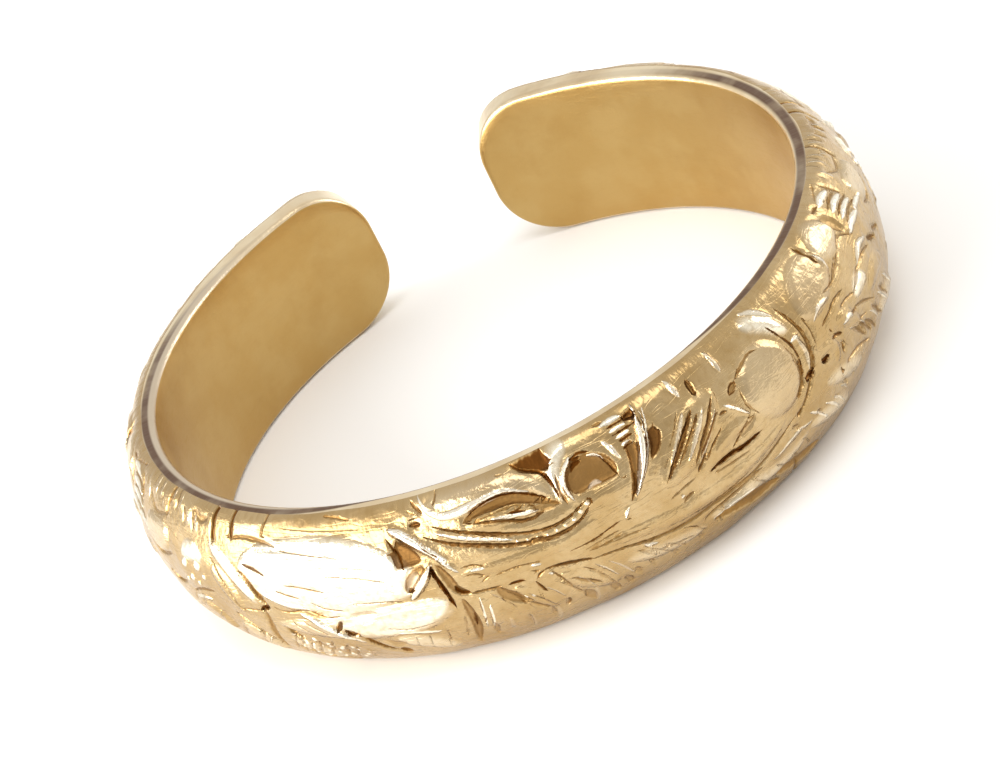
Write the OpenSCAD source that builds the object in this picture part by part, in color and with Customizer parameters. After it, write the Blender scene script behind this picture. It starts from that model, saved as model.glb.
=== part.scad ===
// Open toe ring in one piece: a domed band with rounded free ends and a gap
// between them, so that it can be squeezed to fit a toe.
// It lies on its side. The toe goes in along Z, the gap faces +Y, and the
// front of the leaf pattern faces -Y. The origin is the middle of the toe hole.
// Turns are in degrees anticlockwise from +X, seen from above.

/* [Band] */
// Inside diameter of the ring
inside_d = 15.6; // [13:0.1:22]
// Width of the band, from one side edge to the other
band_w = 4.0; // [3:0.1:6]
// Thickness of the band at the middle of its dome
crown_t = 1.3; // [1.1:0.05:2]
// Thickness of the two side edges at the front
edge_t = 0.46; // [0.4:0.02:0.8]
// Thickness of the two side edges at the free ends
end_edge_t = 0.8; // [0.5:0.02:0.9]
// Fullness of the dome: 2 is a plain arc, and more is squarer
dome_fullness = 2.3; // [1.8:0.1:3.5]
// Softening of the two edges of the toe hole
hole_soften = 0.15; // [0.05:0.01:0.25]

/* [Opening] */
// Gap between the free ends, along the inside wall
gap = 3.2; // [2:0.1:8]
// Turn of the middle of the gap
gap_turn = 89.7; // [80:0.1:100]
// Corner radius of each free end, seen from outside
end_corner_r = 1.6; // [0.8:0.1:2]

/* [Pattern] */
// Height of a raised leaf over the ground of the pattern
leaf_rise = 0.1; // [0:0.01:0.2]
// Depth of a cut line
cut_depth = 0.12; // [0:0.01:0.25]
// Width of a cut line at its middle
cut_w = 0.5; // [0.3:0.02:0.7]
// Height of a raised bead
bead_rise = 0.12; // [0:0.01:0.2]
// Turn that one repeat of the pattern takes
repeat_turn = 108; // [60:1:120]
// Plain margin along each side edge
margin_w = 0.16; // [0:0.02:0.4]

/* [Hidden] */

// Fineness of the blank: facets round the ring and across the dome
ROUND_STEPS = 220;
ACROSS_STEPS = 18;
// Fineness of the exact round cuts
CUT_FN = 96;
// Spare length of a cutting solid past the surface that it cuts
SPARE = 1;

inside_r = inside_d / 2;
crown_r = inside_r + crown_t;
half_w = band_w / 2;
// Turn from the middle of the gap to a free end
half_gap_turn = gap / inside_r * 90 / PI;
// Length on the dome for each degree of turn
turn_len = crown_r * PI / 180;
// The front of the pattern lies between these turns, and copies follow it
FRONT_FROM = 212;

// Strokes are bowed lines on the dome, and each table has a row for a stroke.
// Columns: turn and height of its start, turn and height of its end, bow,
// half width and size. Heights are shares of the band's width, up from the
// lower edge. The bow is a share of the stroke's length, to the left of it.
FROM_TURN = 0;
FROM_UP = 1;
TO_TURN = 2;
TO_UP = 3;
BOW = 4;
WIDE = 5;
SIZE = 6;

// Raised leaves: half width is a share of band_w, and size of leaf_rise
LEAVES = [
    // broad leaf, and the one below it
    [214, 0.84, 246, 0.70, 0.03, 0.19, 1.0],
    [222, 0.44, 249, 0.34, -0.05, 0.12, 0.8],
    [213, 0.30, 235, 0.10, 0.08, 0.11, 0.8],
    // eye leaf: an outer leaf with a narrow one on it
    [249, 0.86, 272, 0.74, -0.08, 0.16, 0.7],
    [254, 0.84, 268, 0.79, 0.02, 0.09, 1.3],
    // ribs beside the round hollow
    [274, 0.58, 285, 0.98, -0.08, 0.07, 1.2],
    // feather and wedge
    [281, 0.60, 295, 0.86, 0.02, 0.13, 0.9],
    [286, 0.55, 297, 0.64, 0.00, 0.07, 1.0],
    // round boss, the crescent round it and the smooth leaf behind
    [295, 0.69, 306, 0.69, 0.00, 0.20, 1.3],
    [308, 0.90, 306, 0.46, 0.16, 0.07, 1.1],
    [310, 0.72, 321, 0.84, 0.06, 0.15, 0.9],
    // long sweep below the middle, and the small leaves that hang from it
    [264, 0.50, 305, 0.44, -0.07, 0.08, 1.0],
    [252, 0.44, 262, 0.16, -0.10, 0.09, 0.9],
    [262, 0.38, 271, 0.12, -0.10, 0.08, 0.9],
    [282, 0.27, 301, 0.20, -0.06, 0.09, 1.0],
    [302, 0.34, 318, 0.18, -0.06, 0.10, 0.9],
];

// Cut lines: half width is a share of cut_w / 2, and size of cut_depth
CUTS = [
    // nicks in the side edge, beside the broad leaf
    [212.5, 0.86, 212.5, 1.08, 0.00, 1.0, 0.6],
    [217.0, 0.88, 217.0, 1.08, 0.00, 1.0, 0.6],
    // lines round the broad leaf
    [211.0, 0.92, 221.5, 0.46, 0.05, 1.2, 1.1],
    [220.0, 0.53, 247.0, 0.50, -0.05, 1.1, 0.9],
    [221.0, 0.50, 221.5, 0.10, 0.08, 1.1, 0.7],
    [231.0, 0.50, 240.0, 0.12, -0.05, 1.2, 0.9],
    // angular hollow between the broad leaf and the eye leaf
    [243.0, 0.92, 248.0, 0.68, 0.10, 1.5, 0.9],
    [248.0, 0.80, 250.5, 0.40, 0.05, 1.3, 1.0],
    [251.0, 0.60, 247.0, 0.04, -0.12, 1.3, 1.0],
    // eye leaf: its lower outline, and both lids of the narrow leaf
    [249.0, 0.82, 273.0, 0.70, -0.15, 1.2, 1.1],
    [252.0, 0.86, 270.0, 0.74, -0.09, 1.0, 0.8],
    [252.0, 0.90, 269.5, 0.76, 0.14, 1.0, 0.8],
    // round hollow and ribs
    [265.5, 1.00, 269.0, 0.74, 0.10, 1.3, 1.0],
    [277.5, 0.70, 281.0, 1.00, -0.08, 1.2, 0.9],
    [281.0, 0.68, 285.5, 0.98, -0.10, 1.2, 0.9],
    // feather and wedge
    [283.5, 0.58, 291.0, 0.92, 0.02, 1.0, 0.8],
    [286.5, 0.54, 294.0, 0.84, 0.02, 1.0, 0.8],
    [285.0, 0.51, 298.0, 0.51, -0.02, 1.2, 1.1],
    // arcs round the boss
    [304.5, 0.92, 302.0, 0.46, 0.26, 1.2, 1.1],
    [309.5, 0.92, 302.5, 0.36, 0.24, 1.2, 1.0],
    [293.0, 0.72, 303.0, 0.92, 0.18, 1.0, 0.6],
    // nick and curl beside the smooth leaf
    [319.5, 0.84, 319.5, 1.08, 0.00, 1.0, 0.6],
    [312.0, 0.62, 312.5, 0.30, 0.20, 1.2, 0.8],
    // sweep lines and the stems of the small leaves
    [251.0, 0.49, 268.0, 0.44, 0.03, 1.0, 0.8],
    [264.0, 0.42, 304.0, 0.37, -0.08, 1.1, 1.0],
    [264.0, 0.55, 286.0, 0.54, 0.02, 1.0, 0.6],
    [255.0, 0.46, 262.0, 0.14, -0.08, 1.1, 0.8],
    [283.0, 0.24, 300.0, 0.13, 0.04, 1.3, 0.9],
    [268.0, 0.20, 284.0, 0.12, 0.04, 1.3, 0.9],
    [302.0, 0.30, 318.0, 0.14, 0.06, 1.2, 0.8],
];

// Round forms. Columns: turn, height, radius as a share of band_w and size.
// Above zero it is a bead of bead_rise, below zero a dish of cut_depth.
RADIUS = 2;
LIFT = 3;
ROUNDS = [
    [273.0, 0.83, 0.14, -1.2],
    [315.0, 0.80, 0.12, 1.0],
    [313.5, 0.56, 0.08, 0.8],
    [318.5, 0.50, 0.08, 0.8],
];

// A point of the dome laid flat: along the turn and up from the lower edge
function flat(turn, up) = [turn * turn_len, up * band_w];

// A stroke made ready. Columns: start, direction, length, bow in mm, half
// width in mm and size.
START = 0;
ALONG = 1;
LENGTH = 2;
SAG = 3;
HALF = 4;
WEIGHT = 5;
function ready(row, width) =
    let (
        start = flat(row[FROM_TURN], row[FROM_UP]),
        end = flat(row[TO_TURN], row[TO_UP]),
        length = norm(end - start)
    ) [start, (end - start) / length, length, row[BOW] * length, row[WIDE] * width, row[SIZE]];

READY_LEAVES = [for (row = LEAVES) ready(row, band_w)];
READY_CUTS = [for (row = CUTS) ready(row, cut_w / 2)];

// How far a point lies inside a stroke: 1 on its line, 0 at its outline
function inside(point, stroke) =
    let (
        along = (point - stroke[START]) * stroke[ALONG] / stroke[LENGTH],
        swell = along <= 0 || along >= 1 ? 0 : 4 * along * (1 - along)
    ) swell == 0 ? 0 : let (
        side = cross(stroke[ALONG], point - stroke[START]) - stroke[SAG] * swell
    ) max(0, 1 - side * side / (stroke[HALF] * stroke[HALF] * swell));

// A leaf is a flat-topped swelling, and a cut is a hollow with eased edges
function leaf_height(point, stroke) =
    let (share = inside(point, stroke)) stroke[WEIGHT] * leaf_rise * share * (2 - share);
function cut_height(point, stroke) =
    -stroke[WEIGHT] * cut_depth * pow(inside(point, stroke), 2);
function round_height(point, row) =
    let (
        share = norm(point - flat(row[FROM_TURN], row[FROM_UP])) / (row[RADIUS] * band_w),
        cap = share >= 1 ? 0 : 1 - share * share
    ) row[LIFT] * cap * (row[LIFT] > 0 ? bead_rise : cut_depth);

// Strokes that can reach a turn of the flat dome, so that few are worked out
function near(strokes, x) = [
    for (stroke = strokes)
        let (
            run = abs(stroke[ALONG][0]) * stroke[LENGTH] / 2,
            middle = stroke[START][0] + stroke[ALONG][0] * stroke[LENGTH] / 2
        )
            if (abs(x - middle) < run + stroke[HALF] + abs(stroke[SAG])) stroke
];

// Height of the pattern over the dome at a flat point, from the near strokes
function pattern(point, leaves, cuts) =
    max([0, for (leaf = leaves) leaf_height(point, leaf)])
    + min([0, for (cut = cuts) cut_height(point, cut)])
    + max([0, for (row = ROUNDS) round_height(point, row)])
    + min([0, for (row = ROUNDS) round_height(point, row)]);

// The pattern fades out over the plain margin at each side edge
function margin_fade(z) = min(1, (half_w - abs(z)) / max(margin_w, 0.01));

// Thickness of the side edges, which grows towards the free ends
function edge_at(turn) =
    let (away = abs(turn - gap_turn - 180) / (180 - half_gap_turn))
    edge_t + (end_edge_t - edge_t) * pow(min(1, away), 3);

// Radius of the plain dome
function dome_r(turn, z) =
    let (edge = edge_at(turn))
    inside_r + edge + (crown_t - edge) * (1 - pow(abs(z) / half_w, dome_fullness));

// Turn within the front of the pattern that a turn of the ring repeats
function repeated(turn) =
    let (steps = floor((turn - FRONT_FROM) / repeat_turn)) turn - steps * repeat_turn;

// Heights of the rows of points across the dome, closer together at its edges
ROW_Z = [for (i = [0 : ACROSS_STEPS])
    let (share = 2 * i / ACROSS_STEPS - 1) half_w * (0.8 * share + 0.2 * sin(90 * share))];

// One section of the blank: the patterned dome from the lower edge up
function section(turn) =
    let (
        front_turn = repeated(turn),
        x = front_turn * turn_len,
        leaves = near(READY_LEAVES, x),
        cuts = near(READY_CUTS, x)
    ) [
        for (z = ROW_Z)
            let (
                height = pattern([x, z + half_w], leaves, cuts),
                r = dome_r(turn, z) + margin_fade(z) * height
            ) [r * cos(turn), r * sin(turn), z]
    ];

// Patterned blank: a full disc with the dome round its rim
module blank() {
    row = ACROSS_STEPS + 1;
    low_middle = ROUND_STEPS * row;
    points = concat(
        [for (i = [0 : ROUND_STEPS - 1]) each section(gap_turn + i * 360 / ROUND_STEPS)],
        [[0, 0, -half_w], [0, 0, half_w]]
    );
    rim = [
        for (i = [0 : ROUND_STEPS - 1], j = [0 : ACROSS_STEPS - 1])
            let (
                a = i * row + j,
                b = a + 1,
                d = (i + 1) % ROUND_STEPS * row + j,
                c = d + 1
            ) each (i + j) % 2 == 0 ? [[a, b, c], [a, c, d]] : [[a, b, d], [b, c, d]]
    ];
    sides = [
        for (i = [0 : ROUND_STEPS - 1])
            let (
                a = i * row,
                d = (i + 1) % ROUND_STEPS * row
            ) each [
                [low_middle, a, d],
                [low_middle + 1, d + ACROSS_STEPS, a + ACROSS_STEPS]
            ]
    ];
    polyhedron(points, concat(rim, sides), convexity = 6);
}

// Cutting solid for the toe hole, with a softened edge at both mouths
module toe_hole() {
    soften = [for (lean = [0, 30, 60])
        [inside_r + hole_soften * (1 - cos(lean)), half_w - hole_soften * (1 - sin(lean))]];
    out = soften[2] + SPARE * [cos(30), sin(30)];
    edge = concat(soften, [out]);
    rotate_extrude($fn = CUT_FN)
        polygon(concat(
            [[0, out[1]], [0, -out[1]]],
            [for (i = [3 : -1 : 0]) [edge[i][0], -edge[i][1]]],
            edge
        ));
}

// Outline of a free end laid flat, with its tip at X = 0 and the band behind
module end_outline() {
    back = 2 * end_corner_r;
    translate([-back, -half_w - SPARE]) square([back - end_corner_r, band_w + 2 * SPARE]);
    translate([-back, -half_w + end_corner_r]) square([back, band_w - 2 * end_corner_r]);
    for (side = [-1, 1])
        translate([-end_corner_r, side * (half_w - end_corner_r)])
            circle(r = end_corner_r, $fn = CUT_FN);
}

// Cutting solid for one free end, cut straight in towards the toe
module end_cut(hand) {
    start = inside_r / 2;
    rotate(gap_turn + hand * half_gap_turn)
        translate([start, 0, 0]) rotate([90, 0, 90])
            linear_extrude(height = crown_r + SPARE - start)
                scale([-hand, 1]) difference() {
                    translate([-end_corner_r, -half_w - SPARE])
                        square([end_corner_r + gap, band_w + 2 * SPARE]);
                    end_outline();
                }
}

module band() {
    color("goldenrod") difference() {
        blank();
        toe_hole();
        end_cut(-1);
        end_cut(1);
    }
}

band();
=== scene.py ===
"""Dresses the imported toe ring: one open, domed band with a cut leaf and scroll pattern.

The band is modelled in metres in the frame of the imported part, with the toe along Z, the
gap between the free ends facing +Y and the front of the pattern facing -Y. Sizes in the
classes are millimetres, and turns are degrees anticlockwise from +X seen from above.
"""

import logging
import math
from dataclasses import dataclass, field
from enum import Enum

import bpy
import numpy as np
from mathutils import Matrix, Vector

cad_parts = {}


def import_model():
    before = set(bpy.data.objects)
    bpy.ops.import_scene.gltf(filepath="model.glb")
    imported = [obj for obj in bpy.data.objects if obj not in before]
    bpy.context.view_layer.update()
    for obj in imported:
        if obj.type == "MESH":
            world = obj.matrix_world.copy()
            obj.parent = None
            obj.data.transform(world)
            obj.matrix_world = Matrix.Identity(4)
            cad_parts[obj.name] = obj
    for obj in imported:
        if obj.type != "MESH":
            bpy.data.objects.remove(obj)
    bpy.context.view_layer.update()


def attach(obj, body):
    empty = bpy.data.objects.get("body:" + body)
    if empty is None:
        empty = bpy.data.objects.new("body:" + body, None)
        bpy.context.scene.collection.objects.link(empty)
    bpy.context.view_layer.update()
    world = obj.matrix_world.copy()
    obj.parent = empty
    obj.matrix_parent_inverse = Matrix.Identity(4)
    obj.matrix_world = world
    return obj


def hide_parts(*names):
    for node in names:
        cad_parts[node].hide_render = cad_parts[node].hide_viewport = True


MM = 0.001
LOG = logging.getLogger("toe_ring")
Point = tuple[float, float]
Span = tuple[float, float]
Colour = tuple[float, float, float]
Socket = bpy.types.NodeSocket

# A stroke that is full at its start is this wide there, and grows by so much along its line
TAIL_START = 0.3
TAIL_GROWTH = 9


def eased(share: np.ndarray) -> np.ndarray:
    """Eases shares from 0 to 1 so that they start and stop softly."""
    return share * share * (3 - 2 * share)


class Skin(Enum):
    """The three finishes of the band's skin, in the order of its material slots."""

    DOME = 0
    EDGE = 1
    INSIDE = 2


class Kind(Enum):
    """What a form of the pattern does to the dome."""

    LEAF = "leaf"
    RIDGE = "ridge"
    CUT = "cut"
    HOLLOW = "hollow"


# The kinds that the finish draws crisply, in the order in which the mesh keeps them
DRAWN_KINDS = (Kind.CUT, Kind.HOLLOW, Kind.RIDGE)


class Taper(Enum):
    """How the width of a stroke runs from its start to its end."""

    LENS = "pointed at both ends"
    TAIL = "full at its start and pointed at its end"
    EVEN = "the same all along"

    def width_at(self, along: np.ndarray) -> np.ndarray:
        """Gives a stroke's width along its line, as a share of its full width.

        Args:
            along: Shares of the line's length that lie before the points.

        Returns:
            The share of the full width at each point.
        """
        if self is Taper.LENS:
            return np.sqrt(np.maximum(0, 4 * along * (1 - along)))
        if self is Taper.TAIL:
            return np.sqrt(np.maximum(0, 1 - along)) * np.minimum(1, TAIL_START + TAIL_GROWTH * along)
        return np.ones_like(along)


@dataclass(frozen=True)
class Stroke:
    """One line of the pattern on the dome laid flat.

    The path runs through points of turn and height, the height in millimetres up from the
    lower side edge. A rise above zero stands out, and one below zero is cut in. The tone is
    how dark a cut is painted, with patina and painted shade, or how pale a ridge or leaf is
    painted, with wear and a painted highlight, from 0 to 1.
    """

    path: tuple[Point, ...]
    width: float
    rise: float
    tone: float
    taper: Taper = Taper.LENS


@dataclass(frozen=True)
class Round:
    """A round form of the pattern: a boss where its rise is above zero, else a pit."""

    turn: float
    height: float
    radius: float
    rise: float
    tone: float


@dataclass(frozen=True)
class Hatch:
    """A row of short strokes side by side, each leaning the same way.

    The strokes are a little uneven in place, height and length, as cut by hand, and the
    beats are how fast each of the three changes from stroke to stroke. The bow is how far
    the middle of each stroke lies off its straight line.
    """

    start: Point
    end: Point
    lean: Point
    count: int
    width: float
    rise: float
    tone: float
    bow: Point = (0.12, 0.03)
    off_place: float = 0.45
    off_height: float = 0.09
    off_length: float = 0.3
    beats: tuple[float, float, float] = (7.3, 4.7, 5.9)

    def strokes(self) -> list[Stroke]:
        """Lists the strokes of the row.

        Returns:
            The strokes, from the start of the row to its end.
        """
        found = []
        for k in range(self.count):
            place, rise, long = (beat * k for beat in self.beats)
            share = (k + self.off_place * math.sin(place + self.start[0])) / max(1, self.count - 1)
            turn = self.start[0] + (self.end[0] - self.start[0]) * share
            height = self.start[1] + (self.end[1] - self.start[1]) * share
            height += self.off_height * math.sin(rise + self.start[1])
            size = 1 - self.off_length + self.off_length * math.sin(long + self.start[0])
            lean = (self.lean[0] * size, self.lean[1] * size)
            middle = (turn + lean[0] / 2 + self.bow[0], height + lean[1] / 2 + self.bow[1])
            path = ((turn, height), middle, (turn + lean[0], height + lean[1]))
            found.append(Stroke(path, self.width * size, self.rise, self.tone * size))
        return found


@dataclass(frozen=True)
class BandSizes:
    """The band's sizes in millimetres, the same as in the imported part."""

    inside_r: float = 7.8
    width: float = 4.0
    crown_t: float = 1.3
    edge_t: float = 0.46
    end_edge_t: float = 0.8
    fullness: float = 2.3
    mouth_soften: float = 0.15
    rim_soften: float = 0.17
    gap: float = 3.2
    gap_turn: float = 89.7
    corner_r: float = 1.6

    @property
    def half_w(self) -> float:
        """Half the band's width."""
        return self.width / 2

    @property
    def crown_r(self) -> float:
        """Radius of the ring over the middle of the dome."""
        return self.inside_r + self.crown_t

    @property
    def turn_len(self) -> float:
        """Length on the crown for each degree of turn."""
        return math.radians(self.crown_r)

    @property
    def half_gap_turn(self) -> float:
        """Turn from the middle of the gap to a free end."""
        return math.degrees(self.gap / 2 / self.inside_r)

    @property
    def first_turn(self) -> float:
        """Turn of the free end where the band starts."""
        return self.gap_turn + self.half_gap_turn

    @property
    def crown_len(self) -> float:
        """Length of the band over its crown, from free end to free end."""
        return (360 - 2 * self.half_gap_turn) * self.turn_len

    def edge_at(self, turn: np.ndarray) -> np.ndarray:
        """Gives the thickness of the side edges, which grows towards the free ends."""
        away = np.abs(turn - self.gap_turn - 180) / (180 - self.half_gap_turn)
        return self.edge_t + (self.end_edge_t - self.edge_t) * np.minimum(1, away) ** 3

    def dome_at(self, turn: np.ndarray, z: np.ndarray) -> np.ndarray:
        """Gives the radius of the plain dome.

        Args:
            turn: Turns round the ring.
            z: Heights from the middle of the band.

        Returns:
            The radius at each point.
        """
        edge = self.edge_at(turn)
        share = np.minimum(1, np.abs(z) / self.half_w) ** self.fullness
        return self.inside_r + edge + (self.crown_t - edge) * (1 - share)

    def half_width_at(self, away: np.ndarray) -> np.ndarray:
        """Gives half the width of the rounded end, at distances back from its tip."""
        back = np.clip(self.corner_r - away, 0, self.corner_r)
        return self.half_w - self.corner_r + np.sqrt(self.corner_r**2 - back**2)

    def depth_in(self, away: np.ndarray, z: np.ndarray) -> np.ndarray:
        """Gives how far points lie inside the band's outline laid flat.

        Args:
            away: Distances back from the tip of the nearer end.
            z: Heights from the middle of the band.

        Returns:
            The distance of each point from the outline.
        """
        back = self.corner_r - away
        side = np.abs(z) - (self.half_w - self.corner_r)
        corner = self.corner_r - np.hypot(back, side)
        plain = np.minimum(away, self.half_w - np.abs(z))
        return np.maximum(0, np.where((back > 0) & (side > 0), corner, plain))


def numbers_of(parts: bpy.types.bpy_prop_collection, name: str) -> np.ndarray:
    """Reads a whole number from each part of a mesh.

    Args:
        parts: The mesh's loops or polygons, or the data of an attribute.
        name: Name of the number.

    Returns:
        The numbers in the order of the parts.
    """
    found = np.empty(len(parts), int)
    parts.foreach_get(name, found)
    return found


def rolled(depth: np.ndarray, radius: float) -> np.ndarray:
    """Gives how far a rounded edge draws a surface back, at depths in from the edge."""
    short = np.clip(radius - depth, 0, radius)
    return radius - np.sqrt(radius**2 - short**2)


def smooth_path(points: tuple[Point, ...], turn_len: float, parts: int = 6) -> np.ndarray:
    """Draws a smooth line, a Catmull-Rom curve, through the points of a stroke.

    Args:
        points: Turn and height of each point.
        turn_len: Length on the crown for each degree of turn.
        parts: Straight parts between two points.

    Returns:
        The line's points in millimetres on the dome laid flat.
    """
    p = np.array(points, float) * (turn_len, 1.0)
    if len(p) == 2:
        return p
    ends = np.vstack([2 * p[0] - p[1], p, 2 * p[-1] - p[-2]])
    out = []
    for a, b, c, d in zip(ends, ends[1:], ends[2:], ends[3:]):
        t = np.arange(parts)[:, None] / parts
        bend = (2 * a - 5 * b + 4 * c - d) * t**2
        out.append(0.5 * (2 * b + (c - a) * t + bend + (3 * b - a - 3 * c + d) * t**3))
    return np.vstack([*out, p[-1:]])


@dataclass(frozen=True)
class Rope:
    """A line of beads painted pale with wear and a painted highlight, which are full at its end and smaller
    towards its start.
    """

    path: tuple[Point, ...]
    count: int
    radius: float
    rise: float
    thinning: float

    def beads(self, turn_len: float) -> list[Round]:
        """Lists the beads.

        Args:
            turn_len: Length on the crown for each degree of turn.

        Returns:
            The beads, evenly spaced along the rope.
        """
        line = smooth_path(self.path, turn_len)
        run = np.concatenate([[0], np.cumsum(np.hypot(*np.diff(line, axis=0).T))])
        places = np.linspace(0, run[-1], self.count)
        turns = np.interp(places, run, line[:, 0]) / turn_len
        heights = np.interp(places, run, line[:, 1])
        swells = 1 - self.thinning + self.thinning * places / run[-1]
        return [Round(t, h, self.radius * k, self.rise, k) for t, h, k in zip(turns, heights, swells)]


@dataclass(frozen=True)
class Grains:
    """Rows of small raised grains, each a little uneven in place, height and radius.

    The beats are how fast each of the three changes from grain to grain.
    """

    start: Point
    step: Point
    rows: int
    columns: int
    row_drop: float
    radius: float
    rise: float
    tone: float
    off_place: float = 0.3
    off_height: float = 0.04
    off_radius: float = 0.02
    beats: tuple[int, int, int] = (5, 7, 9)

    def bosses(self) -> list[Round]:
        """Lists the grains.

        Returns:
            The grains, row by row, each second row half a step further on.
        """
        found = []
        for row in range(self.rows):
            for step in range(self.columns):
                place, rise, size = (beat * step for beat in self.beats)
                along = step + (row % 2) / 2 + self.off_place * math.sin(place + row)
                turn = self.start[0] + along * self.step[0]
                height = self.start[1] + along * self.step[1] - self.row_drop * row
                height += self.off_height * math.sin(rise + 3 * row)
                radius = self.radius + self.off_radius * math.sin(size + 4 * row)
                found.append(Round(turn, height, radius, self.rise, self.tone))
        return found


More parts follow.
